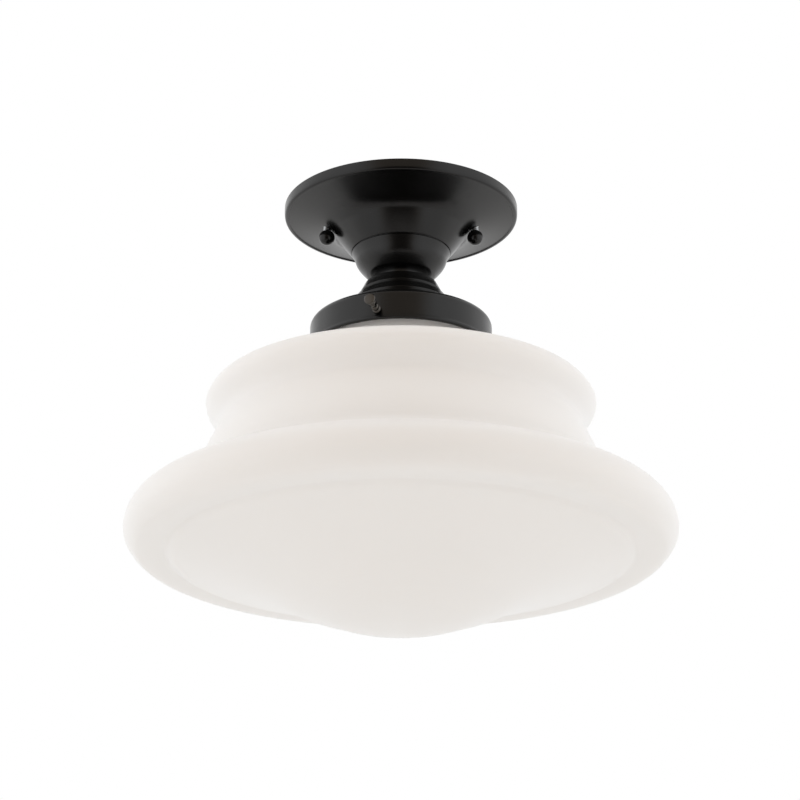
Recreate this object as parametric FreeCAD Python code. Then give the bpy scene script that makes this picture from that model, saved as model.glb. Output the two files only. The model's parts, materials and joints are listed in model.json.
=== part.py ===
import FreeCAD, Part
import math
import os
from FreeCAD import Vector

# Semi flush ceiling light, in millimetres.
# The origin is the centre of the canopy's mouth, on the ceiling, and +Z points up
# into the ceiling. Outlines are written as (radius, depth), where depth is the
# distance below the ceiling, so a point lies at z = -depth.

# Canopy: a spun dish, closed below by a deep cup.
CANOPY_RADIUS = 69.85
CANOPY_RIM_DEPTH = 6.5
CANOPY_WALL = 1.0
RIM_BULGE = 0.1
RIM_ROUND = 0.3
RIM_BEAD_WIDTH = 2.2
RIM_STEP = 0.45
DISH_BROW_INSET = 12.0
DISH_BROW_DROP = 1.2
DISH_KNEE_RADIUS = 42.0
DISH_KNEE_DEPTH = 12.5
SEAM_RADIUS = 29.6
SEAM_DEPTH = 28.4
FLARE_RUN = 6.4
FLARE_RISE = 7.8
CUP_HEIGHT = 15.8
CUP_WALL = 1.2
CUP_SHOULDER_INSET = 1.8
CUP_SHOULDER_DROP = 3.3
CUP_BELLY_INSET = 3.2
CUP_BELLY_DROP = 8.1
CUP_HEEL_WIDTH = 6.0
CUP_HEEL_RISE = 2.2
CUP_FOOT_WIDTH = 3.7
FLANGE_WIDTH = 4.0
FLANGE_THICKNESS = 0.84
FLANGE_START = 0.5
FLANGE_HEEL_INSET = 1.5
FLANGE_HEEL_DROP = 0.9
FLANGE_THROAT_INSET = 1.05
FLANGE_THROAT_RISE = 0.3
FLANGE_BEND_INSET = 1.9
FLANGE_BEND_RISE = 0.8

# Turned neck between the cup and the shade holder.
NECK_RADIUS = 15.6
NECK_LENGTH = 27.3
NECK_STEM = 4.4
NECK_ROOT_ROUND = 1.2
COLLAR_CROWN_INSET = 3.2
COLLAR_CROWN_DROP = 0.4
COLLAR_RADIUS = 24.4
COLLAR_HEIGHT = 6.6
COLLAR_GROOVE_HEIGHT = 0.9
SKIRT_TOP_PROUD = 0.3
SKIRT_TOP_DROP = 1.5
SKIRT_SHOULDER_PROUD = 2.0
SKIRT_SHOULDER_DROP = 2.6
SKIRT_RADIUS = 29.0
SKIRT_HEIGHT = 7.0
SKIRT_GROOVE_HEIGHT = 1.2
FOOT_RADIUS = 31.0
FOOT_DROP = 3.4
GROOVE_DEPTH = 0.6

# Shade holder (fitter), which takes a shade neck of the 4 inch size.
FITTER_RADIUS = 53.7
FITTER_HEIGHT = 21.5
FITTER_WALL = 1.2
FITTER_SEAT_MARGIN = 3.0
FITTER_SEAT_ROUND = 8.0
FITTER_CROWN = 2.2
FITTER_CROWN_RUN = 2.0
FITTER_CROWN_FALL = 0.4
FITTER_CROWN_ROUND = 6.0
FITTER_SHOULDER = 4.2
HEM_HEIGHT = 2.6
HEM_PROUD = 0.4
HEM_SLOPE = 0.6
HEM_ROLL = 0.9
HEM_TUCK = 0.3

# Opal glass shade. Drops are measured from the top of the shade's own lip.
GLASS_WALL = 3.0
LIP_CLEARANCE = 2.7
LIP_HEIGHT = 6.2
LIP_PROUD = 3.2
LIP_SLOPE = 0.3
LIP_ROUND = 1.2
SHADE_NECK_DROP = 20.5
SHADE_FLARE_RUN = 12.7
SHADE_FLARE_DROP = 7.3
SHOULDER_RADIUS = 108.4
SHOULDER_DROP = 41.1
UPPER_LOBE_RADIUS = 114.9
UPPER_LOBE_DROP = 50.7
UPPER_LOBE_ROUND = 2.8
UPPER_LOBE_RISE = 6.4
WAIST_RADIUS = 105.4
WAIST_DROP = 62.4
WAIST_BAND_RUN = 2.0
WAIST_BAND_DROP = 6.1
COVE_RADIUS = 116.3
COVE_DROP = 85.8
COVE_UNDERCUT = 1.0
COVE_HEIGHT = 16.1
LOWER_SHOULDER_RADIUS = 152.4
LOWER_SHOULDER_DROP = 110.6
LOWER_LOBE_RADIUS = 160.6
LOWER_LOBE_DROP = 126.9
UNDERSIDE_RADIUS = 153.5
UNDERSIDE_DROP = 138.3
RING_RADIUS = 134.0
RING_DROP = 139.4
RING_LAND = 12.5
RING_LAND_DROP = 0.4
RING_EDGE = 4.0
RING_EDGE_DROP = 0.3
RING_STEP = 3.0
BOWL_START = 12.0
BOWL_START_DROP = 1.6
BOWL_RADIUS = 84.2
BOWL_DROP = 157.6
BOSS_RADIUS = 56.9
BOSS_DROP = 170.2
BOSS_EDGE = 4.1
BOSS_EDGE_RISE = 1.3
TIP_RADIUS = 27.3
SHADE_HEIGHT = 181.4
SHADE_HEADROOM = 5.9

# Screws, nuts and threads.
SMALL_SCREW_RADIUS = 2.08
SMALL_NUT_FLATS = 8.7
SMALL_NUT_HEIGHT = 3.2
GROUND_SCREW_RADIUS = 2.4
GROUND_HEAD_RADIUS = 4.5
GROUND_HEAD_HEIGHT = 2.4
GROUND_HEAD_ROUND = 1.0
SCREW_SLOT = 0.8
NIPPLE_RADIUS = 5.15
NIPPLE_BORE_RADIUS = 3.4
NIPPLE_PROUD = 2.0
NIPPLE_NUT_FLATS = 14.3
NIPPLE_NUT_HEIGHT = 4.0
LOCK_WASHER_RADIUS = 8.0
LOCK_WASHER_THICKNESS = 1.0

# Mounting strap across the ceiling box.
STRAP_THICKNESS = 2.0
STRAP_WIDTH = 16.0
STRAP_STUD_MARGIN = 4.47
STRAP_SLOT_MARGIN = 4.1
STRAP_WIRE_HOLE_RADIUS = 7.0
STUD_SPACING = 88.9
BOX_SLOT_SPACING = 79.4
BOX_SLOT_LENGTH = 14.4
BOX_SLOT_WIDTH = 4.8
GROUND_SCREW_OFFSET = 21.0

# Ball knobs that hold the canopy up.
KNOB_BALL_RADIUS = 4.76
KNOB_BALL_DROP = 2.8
KNOB_WASHER_RADIUS = 3.2
KNOB_WASHER_THICKNESS = 0.6
STUD_REACH = 4.2

# Thumbscrews in the shade holder.
THUMBSCREW_COUNT = 3
THUMBSCREW_FIRST_AZIMUTH = 255.5
THUMBSCREW_RISE = 5.5
THUMBSCREW_REACH = 17.7
THUMBSCREW_HEAD_RADIUS = 3.4
THUMBSCREW_HEAD_HEIGHT = 2.8
THUMBSCREW_COLLAR_RADIUS = 2.5
THUMBSCREW_COLLAR_LENGTH = 2.0
THUMBSCREW_PIN_RADIUS = 1.2
TIP_PAD_RADIUS = 2.0
TIP_PAD_LENGTH = 1.7
TIP_PAD_FACE = 0.7

# Lamp holder.
BRACKET_THICKNESS = 1.5
BRACKET_WIDTH = 12.0
BRACKET_HALF_SPAN = 15.0
BRACKET_HEIGHT = 21.3
BRACKET_BEND = 0.5
BRACKET_TOE = 0.8
HOLDER_FLANGE_MARGIN = 3.3
HOLDER_FLANGE_HEIGHT = 8.0
HOLDER_FLANGE_ROUND = 1.5
HOLDER_WALL = 3.6
HOLDER_TAPER = 0.6
HOLDER_TAPER_DROP = 2.0
HOLDER_HEIGHT = 42.0
HOLDER_FLOOR = 12.0
HOLDER_SCREW_RADIUS = 1.5
HOLDER_SCREW_HEAD_RADIUS = 2.4
HOLDER_SCREW_HEAD_HEIGHT = 1.8
HOLDER_SCREW_LENGTH = 7.0
LEAD_HOLE_OFFSET = 7.5
LEAD_HOLE_DEPTH = 5.0
SHELL_LIFT = 2.0
SHELL_WALL = 0.35
SHELL_HEIGHT = 24.0
CONTACT_RADIUS = 4.0
CONTACT_HEIGHT = 1.2
THREAD_PITCH = 3.63
THREAD_WAVE = 0.35
SHELL_TURNS = 6

# Lamp (bulb).
BULB_RADIUS = 30.0
BULB_LENGTH = 108.0
BULB_NECK_LENGTH = 14.0
BULB_NECK_INSERTION = 2.0
BULB_NECK_FLARE = 4.5
BULB_FLARE_RISE = 32.0
BULB_SHOULDER_INSET = 2.0
BULB_SHOULDER_RISE = 21.0
BULB_BELLY_RISE = 7.0
BULB_BELLY_DROP = 17.0
BULB_END_RADIUS = 18.0
BULB_GLASS = 0.7
BULB_CAP_RADIUS = 12.9
BULB_CAP_HEIGHT = 22.0
BULB_CAP_WALL = 0.4
BULB_CONTACT_RADIUS = 4.6
BULB_CONTACT_HEIGHT = 1.4
BULB_CONTACT_ROUND = 0.8
BULB_INSULATOR_HEIGHT = 3.6
BULB_INSULATOR_PROUD = 0.6
BULB_INSULATOR_INSET = 1.0
CAP_TURNS = 5

# Leads and wire connectors.
LEAD_RADIUS = 1.05
LEAD_SPREAD = 1.3
LEAD_EXIT = 2.0
LEAD_SLOPE_SHARE = 0.6
CONNECTOR_OFFSET = 13.0
CONNECTOR_MOUTH_DEPTH = 20.0
CONNECTOR_LENGTH = 16.0
CONNECTOR_MOUTH_RADIUS = 5.2
CONNECTOR_TOP_RADIUS = 3.6
CONNECTOR_BORE_DEPTH = 6.0
CONNECTOR_SKIRT_HEIGHT = 3.0
CONNECTOR_SKIRT_PROUD = 0.8
CONNECTOR_SKIRT_STEP = 1.0
LEAD_INSERTION = 3.0
RING_TERMINAL_THICKNESS = 0.8
RING_TERMINAL_WIDTH = 3.4
CRIMP_RADIUS = 1.7
CRIMP_LENGTH = 5.0
GROUND_LEAD_OFFSET = 12.5
BEND_SHARE = 0.45

# Clearances.
THREAD_CLEARANCE = 0.05
HOLE_CLEARANCE = 0.4
SEAM_GAP = 0.1
SEAT_GAP = 0.3
REST_GAP = 0.1
THREAD_FIT = 0.15
SHELL_FIT = 0.35
BULB_NECK_FIT = 0.2
FINE_EDGE = 0.2
SOFT_EDGE = 0.5
ROUND_EDGE = 1.2
DRILL_OVERRUN = 1.0

# Depths that follow from the stack of pieces.
CUP_BOTTOM = SEAM_DEPTH + CUP_HEIGHT
CUP_FLOOR = CUP_BOTTOM - CUP_WALL
FITTER_SEAT = CUP_BOTTOM + NECK_LENGTH
FITTER_CEILING = FITTER_SEAT + FITTER_WALL
FITTER_BOTTOM = FITTER_SEAT + FITTER_HEIGHT
FITTER_BORE = FITTER_RADIUS - FITTER_WALL
LIP_RADIUS = FITTER_BORE - LIP_CLEARANCE
SHADE_NECK_RADIUS = LIP_RADIUS - LIP_PROUD
SHADE_TOP = FITTER_CEILING + SHADE_HEADROOM
SCREW_DEPTH = FITTER_BOTTOM - THUMBSCREW_RISE
TIP_INNER = SHADE_NECK_RADIUS + SEAT_GAP
TIP_OUTER = TIP_INNER + TIP_PAD_LENGTH
BRACKET_SEAT = FITTER_CEILING + BRACKET_THICKNESS
HOLDER_TOP = FITTER_CEILING + BRACKET_HEIGHT
HOLDER_CONTACT = HOLDER_TOP + HOLDER_FLOOR
BULB_TOP = HOLDER_CONTACT + CONTACT_HEIGHT + REST_GAP
BULB_END = BULB_TOP + BULB_LENGTH
BULB_CAP_TOP = BULB_TOP + BULB_CONTACT_HEIGHT + BULB_INSULATOR_HEIGHT
BULB_NECK_RADIUS = BULB_CAP_RADIUS - BULB_CAP_WALL - BULB_NECK_FIT
SHELL_RADIUS = BULB_CAP_RADIUS + 2 * THREAD_WAVE + THREAD_FIT + SHELL_WALL
HOLDER_BORE_RADIUS = SHELL_RADIUS + THREAD_WAVE + SHELL_FIT
HOLDER_RADIUS = HOLDER_BORE_RADIUS + HOLDER_WALL
HOLDER_SCREW_X = BRACKET_HALF_SPAN + BRACKET_BEND + HOLDER_SCREW_HEAD_RADIUS + REST_GAP
HOLDER_FLANGE_RADIUS = HOLDER_SCREW_X + HOLDER_FLANGE_MARGIN
BRACKET_FOOT = HOLDER_TOP - BRACKET_THICKNESS
CUP_RING_TOP = CUP_FLOOR - RING_TERMINAL_THICKNESS
UPPER_WASHER_TOP = CUP_RING_TOP - LOCK_WASHER_THICKNESS
UPPER_NUT_TOP = UPPER_WASHER_TOP - NIPPLE_NUT_HEIGHT
LOWER_NUT_TOP = BRACKET_SEAT + LOCK_WASHER_THICKNESS
NIPPLE_TOP = UPPER_NUT_TOP - NIPPLE_PROUD
NIPPLE_BOTTOM = LOWER_NUT_TOP + NIPPLE_NUT_HEIGHT + NIPPLE_PROUD
NIPPLE_HOLE = NIPPLE_RADIUS + HOLE_CLEARANCE / 2
STUD_X = STUD_SPACING / 2
STUD_ARM = STUD_X + SMALL_SCREW_RADIUS + STRAP_STUD_MARGIN
SLOT_ARM = (BOX_SLOT_SPACING + BOX_SLOT_LENGTH) / 2 + STRAP_SLOT_MARGIN
STRAP_CRIMP_Y = GROUND_SCREW_OFFSET - GROUND_SCREW_RADIUS - RING_TERMINAL_WIDTH - CRIMP_RADIUS
STRAP_CRIMP_END = STRAP_THICKNESS + RING_TERMINAL_THICKNESS + CRIMP_LENGTH
CUP_CRIMP_END = CUP_RING_TOP - CRIMP_LENGTH

ORIGIN = Vector(0, 0, 0)
UP = Vector(0, 0, 1)
SPLINE_DEGREE = 2
TINY = 1e-6
BISECTION_STEPS = 40


def at(radius, depth):
    """A point of an outline, in the XZ half plane."""
    return Vector(radius, 0, -depth)


def line(start, end):
    return Part.LineSegment(start, end).toShape()


def spline(points):
    """A quadratic B-spline edge on the given (radius, depth) poles."""
    poles = [at(radius, depth) for radius, depth in points]
    spans = len(poles) - SPLINE_DEGREE
    curve = Part.BSplineCurve()
    clamped = SPLINE_DEGREE + 1
    mults = [clamped] + [1] * (spans - 1) + [clamped]
    curve.buildFromPolesMultsKnots(poles, mults, list(range(spans + 1)), False, SPLINE_DEGREE)
    return curve.toShape()


def offset_poles(points, wall):
    """Poles of the wall's other side: each pole moves along its mitred normal."""
    moved = []
    last = len(points) - 1
    for i, (radius, depth) in enumerate(points):
        before = points[max(i - 1, 0)]
        after = points[min(i + 1, last)]
        arriving = unit(radius - before[0], depth - before[1]) if i > 0 else None
        leaving = unit(after[0] - radius, after[1] - depth) if i < last else None
        arriving = arriving or leaving
        leaving = leaving or arriving
        mitre = 1 + arriving[0] * leaving[0] + arriving[1] * leaving[1]
        across = -(arriving[1] + leaving[1]) / mitre * wall
        down = (arriving[0] + leaving[0]) / mitre * wall
        moved.append((radius + across, depth + down))
    return moved


def unit(run, drop):
    length = math.hypot(run, drop)
    return (run / length, drop / length)


def rounded(corners):
    """A closed wire through (radius, depth, corner radius) points."""
    points = [at(radius, depth) for radius, depth, _ in corners]
    count = len(points)
    arcs = []
    for i, (_, _, fillet) in enumerate(corners):
        here = points[i]
        back = (points[i - 1] - here).normalize()
        ahead = (points[(i + 1) % count] - here).normalize()
        half = back.getAngle(ahead) / 2
        if fillet <= 0 or abs(half - math.pi / 2) < TINY:
            arcs.append((here, None, here))
            continue
        reach = fillet / math.tan(half)
        inward = (back + ahead).normalize()
        middle = here + inward * (fillet / math.sin(half) - fillet)
        arcs.append((here + back * reach, middle, here + ahead * reach))
    edges = []
    for i, (start, middle, end) in enumerate(arcs):
        if middle is not None:
            edges.append(Part.Arc(start, middle, end).toShape())
        following = arcs[(i + 1) % count][0]
        if end.distanceToPoint(following) > TINY:
            edges.append(line(end, following))
    return Part.Wire(edges)


def turn(wire):
    """A full turn of a closed outline about Z."""
    return Part.Face(wire).revolve(ORIGIN, UP, 360)


def turned(corners):
    return turn(rounded(corners))


def ring(inner, outer, top, bottom):
    """A plain washer between two depths."""
    return turned([(inner, top, 0), (outer, top, 0), (outer, bottom, 0), (inner, bottom, 0)])


def rod(radius, top, bottom, x=0.0, y=0.0):
    return Part.makeCylinder(radius, bottom - top, Vector(x, y, -bottom))


def bore(radius, top, bottom, x=0.0, y=0.0):
    """A cutter that runs past both faces."""
    return rod(radius, top - DRILL_OVERRUN, bottom + DRILL_OVERRUN, x, y)


def hex_nut(flats, hole, top, bottom):
    circumradius = flats / math.sqrt(3)
    corners = []
    for i in range(7):
        angle = math.radians(60 * i)
        corners.append(Vector(circumradius * math.cos(angle), circumradius * math.sin(angle), -bottom))
    prism = Part.Face(Part.makePolygon(corners)).extrude(UP * (bottom - top))
    return prism.cut(bore(hole, top, bottom))


def moved(shape, x=0.0, y=0.0):
    shape.translate(Vector(x, y, 0))
    return shape


def radial(shape, azimuth, depth):
    """Lay a piece built along +Z so that it points out from the axis at a depth."""
    shape.rotate(ORIGIN, Vector(0, 1, 0), 90)
    shape.rotate(ORIGIN, UP, azimuth)
    shape.translate(Vector(0, 0, -depth))
    return shape


def stepped(steps):
    """A shaft of (radius, start, end) lengths along +Z, as one solid."""
    shaft = None
    for radius, start, end in steps:
        length = Part.makeCylinder(radius, end - start, Vector(0, 0, start))
        shaft = shaft.fuse(length) if shaft else length
    return shaft.removeSplitter()


def tube(route, radius, name):
    """A round lead along straight runs that tangent arcs join."""
    lengths = [route[i].distanceToPoint(route[i + 1]) for i in range(len(route) - 1)]
    edges = []
    start = route[0]
    bends = []
    for i in range(1, len(route) - 1):
        back = (route[i - 1] - route[i]).normalize()
        ahead = (route[i + 1] - route[i]).normalize()
        half_turn = (math.pi - back.getAngle(ahead)) / 2
        reach = BEND_SHARE * min(lengths[i - 1], lengths[i])
        bend = reach / math.tan(half_turn)
        inward = (back + ahead).normalize()
        middle = route[i] + inward * (bend / math.cos(half_turn) - bend)
        entry = route[i] + back * reach
        leave = route[i] + ahead * reach
        edges.append(line(start, entry))
        edges.append(Part.Arc(entry, middle, leave).toShape())
        start = leave
        bends.append(round(bend, 1))
    edges.append(line(start, route[-1]))
    path = Part.Wire(edges)
    heading = (route[1] - route[0]).normalize()
    section = Part.Wire(Part.Circle(route[0], heading, radius).toShape())
    swept = path.makePipeShell([section], True, False)
    expected = math.pi * radius ** 2 * path.Length
    print(name, "bend radii", bends, "volume over section times length", round(swept.Volume / expected, 4))
    return swept


def dish_flare():
    """Poles of the dish's underside, from the rim's step to the seam."""
    return [
        (CANOPY_RADIUS - RIM_BEAD_WIDTH - RIM_STEP, CANOPY_RIM_DEPTH - RIM_STEP),
        (CANOPY_RADIUS - DISH_BROW_INSET, CANOPY_RIM_DEPTH + DISH_BROW_DROP),
        (DISH_KNEE_RADIUS, DISH_KNEE_DEPTH),
        (SEAM_RADIUS + FLARE_RUN, SEAM_DEPTH - FLARE_RISE),
        (SEAM_RADIUS, SEAM_DEPTH),
    ]


def depth_on(points, radius):
    """Depth of a spline at a radius; the spline's radius falls along its length."""
    curve = spline(points).Curve
    low, high = curve.FirstParameter, curve.LastParameter
    for _ in range(BISECTION_STEPS):
        middle = (low + high) / 2
        if curve.value(middle).x > radius:
            low = middle
        else:
            high = middle
    return -curve.value(low).z


def canopy_dish():
    flare = dish_flare()
    inner_flare = offset_poles(flare, CANOPY_WALL)
    inner_rim = CANOPY_RADIUS - CANOPY_WALL
    band = [
        (CANOPY_RADIUS, 0.0),
        (CANOPY_RADIUS + RIM_BULGE, CANOPY_RIM_DEPTH / 2),
        (CANOPY_RADIUS - RIM_ROUND, CANOPY_RIM_DEPTH),
        (CANOPY_RADIUS - RIM_BEAD_WIDTH, CANOPY_RIM_DEPTH),
    ]
    inner_corner = (inner_rim, inner_flare[0][1])
    wire = Part.Wire([
        spline(band),
        line(at(*band[-1]), at(*flare[0])),
        spline(flare),
        line(at(*flare[-1]), at(*inner_flare[-1])),
        spline(inner_flare),
        line(at(*inner_flare[0]), at(*inner_corner)),
        line(at(*inner_corner), at(inner_rim, 0)),
        line(at(inner_rim, 0), at(CANOPY_RADIUS, 0)),
    ])
    dish = turn(wire)
    for x in (-STUD_X, STUD_X):
        dish = dish.cut(rod(SMALL_SCREW_RADIUS + HOLE_CLEARANCE, 0, SEAM_DEPTH, x))
    return dish


def cup_outline():
    return [
        (SEAM_RADIUS, SEAM_DEPTH + SEAM_GAP),
        (SEAM_RADIUS - CUP_SHOULDER_INSET, SEAM_DEPTH + CUP_SHOULDER_DROP),
        (SEAM_RADIUS - CUP_BELLY_INSET, SEAM_DEPTH + CUP_BELLY_DROP),
        (NECK_RADIUS + CUP_HEEL_WIDTH, CUP_BOTTOM - CUP_HEEL_RISE),
        (NECK_RADIUS + CUP_FOOT_WIDTH, CUP_BOTTOM),
        (NECK_RADIUS, CUP_BOTTOM),
    ]


def swaged_flange():
    """The cup's upper edge, rolled out over the inside of the dish's mouth."""
    flare = dish_flare()
    foot = offset_poles(flare, CANOPY_WALL)[-1]
    out = unit(flare[-2][0] - flare[-1][0], flare[-2][1] - flare[-1][1])
    back = SEAM_GAP + FLANGE_THICKNESS

    def station(along, lift):
        return (foot[0] + out[0] * along + out[1] * lift, foot[1] + out[1] * along - out[0] * lift, 0)

    return [
        (SEAM_RADIUS - FLANGE_HEEL_INSET, SEAM_DEPTH + FLANGE_HEEL_DROP, 0),
        (SEAM_RADIUS - FLANGE_THROAT_INSET, SEAM_DEPTH - FLANGE_THROAT_RISE, 0),
        station(FLANGE_START, SEAM_GAP),
        station(FLANGE_WIDTH, SEAM_GAP),
        station(FLANGE_WIDTH, back),
        station(FLANGE_START, back),
        (SEAM_RADIUS - FLANGE_BEND_INSET, SEAM_DEPTH - FLANGE_BEND_RISE, 0),
    ]


def canopy_cup():
    outer = cup_outline()
    inner = offset_poles(outer, CUP_WALL)
    floor = at(NIPPLE_HOLE, CUP_FLOOR)
    bottom = at(NIPPLE_HOLE, CUP_BOTTOM)
    wire = Part.Wire([
        spline(outer),
        line(at(*outer[-1]), bottom),
        line(bottom, floor),
        line(floor, at(*inner[-1])),
        spline(inner),
        line(at(*inner[0]), at(*outer[0])),
    ])
    return turn(wire).fuse(turned(swaged_flange())).removeSplitter()


def neck_collar():
    top = CUP_BOTTOM
    collar = top + NECK_STEM
    groove = collar + COLLAR_HEIGHT
    skirt = groove + SKIRT_HEIGHT
    return turned([
        (NIPPLE_HOLE, top, 0),
        (NECK_RADIUS, top, 0),
        (NECK_RADIUS, collar, NECK_ROOT_ROUND),
        (COLLAR_RADIUS - COLLAR_CROWN_INSET, collar + COLLAR_CROWN_DROP, ROUND_EDGE),
        (COLLAR_RADIUS, groove, SOFT_EDGE),
        (COLLAR_RADIUS - GROOVE_DEPTH, groove + COLLAR_GROOVE_HEIGHT, FINE_EDGE),
        (COLLAR_RADIUS + SKIRT_TOP_PROUD, groove + SKIRT_TOP_DROP, FINE_EDGE),
        (COLLAR_RADIUS + SKIRT_SHOULDER_PROUD, groove + SKIRT_SHOULDER_DROP, ROUND_EDGE),
        (SKIRT_RADIUS, skirt, SOFT_EDGE),
        (SKIRT_RADIUS - GROOVE_DEPTH, skirt + SKIRT_GROOVE_HEIGHT, FINE_EDGE),
        (FOOT_RADIUS, skirt + FOOT_DROP, ROUND_EDGE),
        (FOOT_RADIUS, FITTER_SEAT, 0),
        (NIPPLE_HOLE, FITTER_SEAT, 0),
    ])


def shade_fitter():
    crown = FITTER_SEAT + FITTER_CROWN
    seat = FOOT_RADIUS + FITTER_SEAT_MARGIN
    crown_edge = FITTER_RADIUS - FITTER_SHOULDER - FITTER_CROWN_RUN
    outer = FITTER_RADIUS + HEM_PROUD
    hem = FITTER_BOTTOM - HEM_HEIGHT
    inner_crown = crown + FITTER_WALL
    fitter = turned([
        (NIPPLE_HOLE, FITTER_SEAT, 0),
        (seat, FITTER_SEAT, FITTER_SEAT_ROUND),
        (crown_edge, crown, FITTER_CROWN_ROUND),
        (FITTER_RADIUS, crown + FITTER_CROWN_FALL, FITTER_SHOULDER),
        (FITTER_RADIUS, hem, FINE_EDGE),
        (outer, hem + HEM_SLOPE, SOFT_EDGE),
        (outer, FITTER_BOTTOM - HEM_ROLL, SOFT_EDGE),
        (FITTER_RADIUS - HEM_TUCK, FITTER_BOTTOM, FINE_EDGE),
        (FITTER_BORE, FITTER_BOTTOM, FINE_EDGE),
        (FITTER_BORE, inner_crown + FITTER_CROWN_FALL, FITTER_SHOULDER - FITTER_WALL),
        (crown_edge, inner_crown, FITTER_CROWN_ROUND),
        (seat, FITTER_CEILING, FITTER_SEAT_ROUND),
        (NIPPLE_HOLE, FITTER_CEILING, 0),
    ])
    hole = SMALL_SCREW_RADIUS + THREAD_CLEARANCE
    start = FITTER_BORE - DRILL_OVERRUN
    for azimuth in thumbscrew_azimuths():
        drill = Part.makeCylinder(hole, outer + DRILL_OVERRUN - start, Vector(0, 0, start))
        fitter = fitter.cut(radial(drill, azimuth, SCREW_DEPTH))
    return fitter


def shade_outline():
    """Poles of the shade's body, from the neck down to the tip on the axis."""
    return [(radius, SHADE_TOP + drop) for radius, drop in [
        (SHADE_NECK_RADIUS, SHADE_NECK_DROP),
        (SHADE_NECK_RADIUS + SHADE_FLARE_RUN, SHADE_NECK_DROP + SHADE_FLARE_DROP),
        (SHOULDER_RADIUS, SHOULDER_DROP),
        (UPPER_LOBE_RADIUS - UPPER_LOBE_ROUND, UPPER_LOBE_DROP - UPPER_LOBE_RISE),
        (UPPER_LOBE_RADIUS, UPPER_LOBE_DROP),
        (WAIST_RADIUS, WAIST_DROP),
        (WAIST_RADIUS + WAIST_BAND_RUN, WAIST_DROP + WAIST_BAND_DROP),
        (COVE_RADIUS, COVE_DROP),
        (COVE_RADIUS - COVE_UNDERCUT, COVE_DROP + COVE_HEIGHT),
        (LOWER_SHOULDER_RADIUS, LOWER_SHOULDER_DROP),
        (LOWER_LOBE_RADIUS, LOWER_LOBE_DROP),
        (UNDERSIDE_RADIUS, UNDERSIDE_DROP),
        (RING_RADIUS + RING_LAND, RING_DROP + RING_LAND_DROP),
        (RING_RADIUS + RING_EDGE, RING_DROP + RING_EDGE_DROP),
        (RING_RADIUS, RING_DROP),
        (RING_RADIUS - RING_EDGE, RING_DROP + RING_STEP),
        (RING_RADIUS - BOWL_START, RING_DROP + RING_STEP + BOWL_START_DROP),
        (BOWL_RADIUS, BOWL_DROP),
        (BOSS_RADIUS + BOSS_EDGE, BOSS_DROP - BOSS_EDGE_RISE),
        (BOSS_RADIUS, BOSS_DROP),
        (TIP_RADIUS, SHADE_HEIGHT),
        (0.0, SHADE_HEIGHT),
    ]]


def shade_glass():
    lip_bottom = SHADE_TOP + LIP_HEIGHT
    lip = [
        (SHADE_NECK_RADIUS, SHADE_TOP),
        (LIP_RADIUS, SHADE_TOP),
        (LIP_RADIUS, lip_bottom),
        (SHADE_NECK_RADIUS, lip_bottom + LIP_SLOPE),
        (SHADE_NECK_RADIUS, lip_bottom + LIP_SLOPE + LIP_ROUND),
    ]
    body = shade_outline()
    neck_bore = SHADE_NECK_RADIUS - GLASS_WALL
    inner = [(neck_bore, SHADE_TOP)] + offset_poles([lip[-1]] + body, GLASS_WALL)[1:]
    wire = Part.Wire([
        spline(lip + body),
        line(at(*body[-1]), at(*inner[-1])),
        spline(inner),
        line(at(*inner[0]), at(*lip[0])),
    ])
    return turn(wire)


def thumbscrew_azimuths():
    return [THUMBSCREW_FIRST_AZIMUTH + 360.0 / THUMBSCREW_COUNT * i for i in range(THUMBSCREW_COUNT)]


def screw_tip(azimuth):
    pad = Part.makeCylinder(TIP_PAD_RADIUS, TIP_PAD_LENGTH, Vector(0, 0, TIP_INNER))
    socket = Part.makeCylinder(THUMBSCREW_PIN_RADIUS + THREAD_CLEARANCE, TIP_PAD_LENGTH,
                               Vector(0, 0, TIP_INNER + TIP_PAD_FACE))
    return radial(pad.cut(socket), azimuth, SCREW_DEPTH)


def thumb_screw(azimuth):
    head = FITTER_RADIUS + THUMBSCREW_REACH
    collar = FITTER_RADIUS + HEM_PROUD + REST_GAP
    screw = stepped([
        (THUMBSCREW_PIN_RADIUS, TIP_INNER + TIP_PAD_FACE + REST_GAP, TIP_OUTER + SEAT_GAP),
        (SMALL_SCREW_RADIUS, TIP_OUTER + REST_GAP, head),
        (THUMBSCREW_COLLAR_RADIUS, collar, collar + THUMBSCREW_COLLAR_LENGTH),
        (THUMBSCREW_HEAD_RADIUS, head - THUMBSCREW_HEAD_HEIGHT, head),
    ])
    return radial(screw, azimuth, SCREW_DEPTH)


def mounting_strap():
    stud_arms = Part.makeBox(2 * STUD_ARM, STRAP_WIDTH, STRAP_THICKNESS,
                             Vector(-STUD_ARM, -STRAP_WIDTH / 2, -STRAP_THICKNESS))
    slot_arms = Part.makeBox(STRAP_WIDTH, 2 * SLOT_ARM, STRAP_THICKNESS,
                             Vector(-STRAP_WIDTH / 2, -SLOT_ARM, -STRAP_THICKNESS))
    strap = stud_arms.fuse(slot_arms).removeSplitter()
    strap = strap.cut(bore(STRAP_WIRE_HOLE_RADIUS, 0, STRAP_THICKNESS))
    for x in (-STUD_X, STUD_X):
        strap = strap.cut(bore(SMALL_SCREW_RADIUS + THREAD_CLEARANCE, 0, STRAP_THICKNESS, x))
    for side in (-1, 1):
        strap = strap.cut(box_slot(side * BOX_SLOT_SPACING / 2))
    ground_hole = GROUND_SCREW_RADIUS + THREAD_CLEARANCE
    return strap.cut(bore(ground_hole, 0, STRAP_THICKNESS, 0, GROUND_SCREW_OFFSET))


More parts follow.
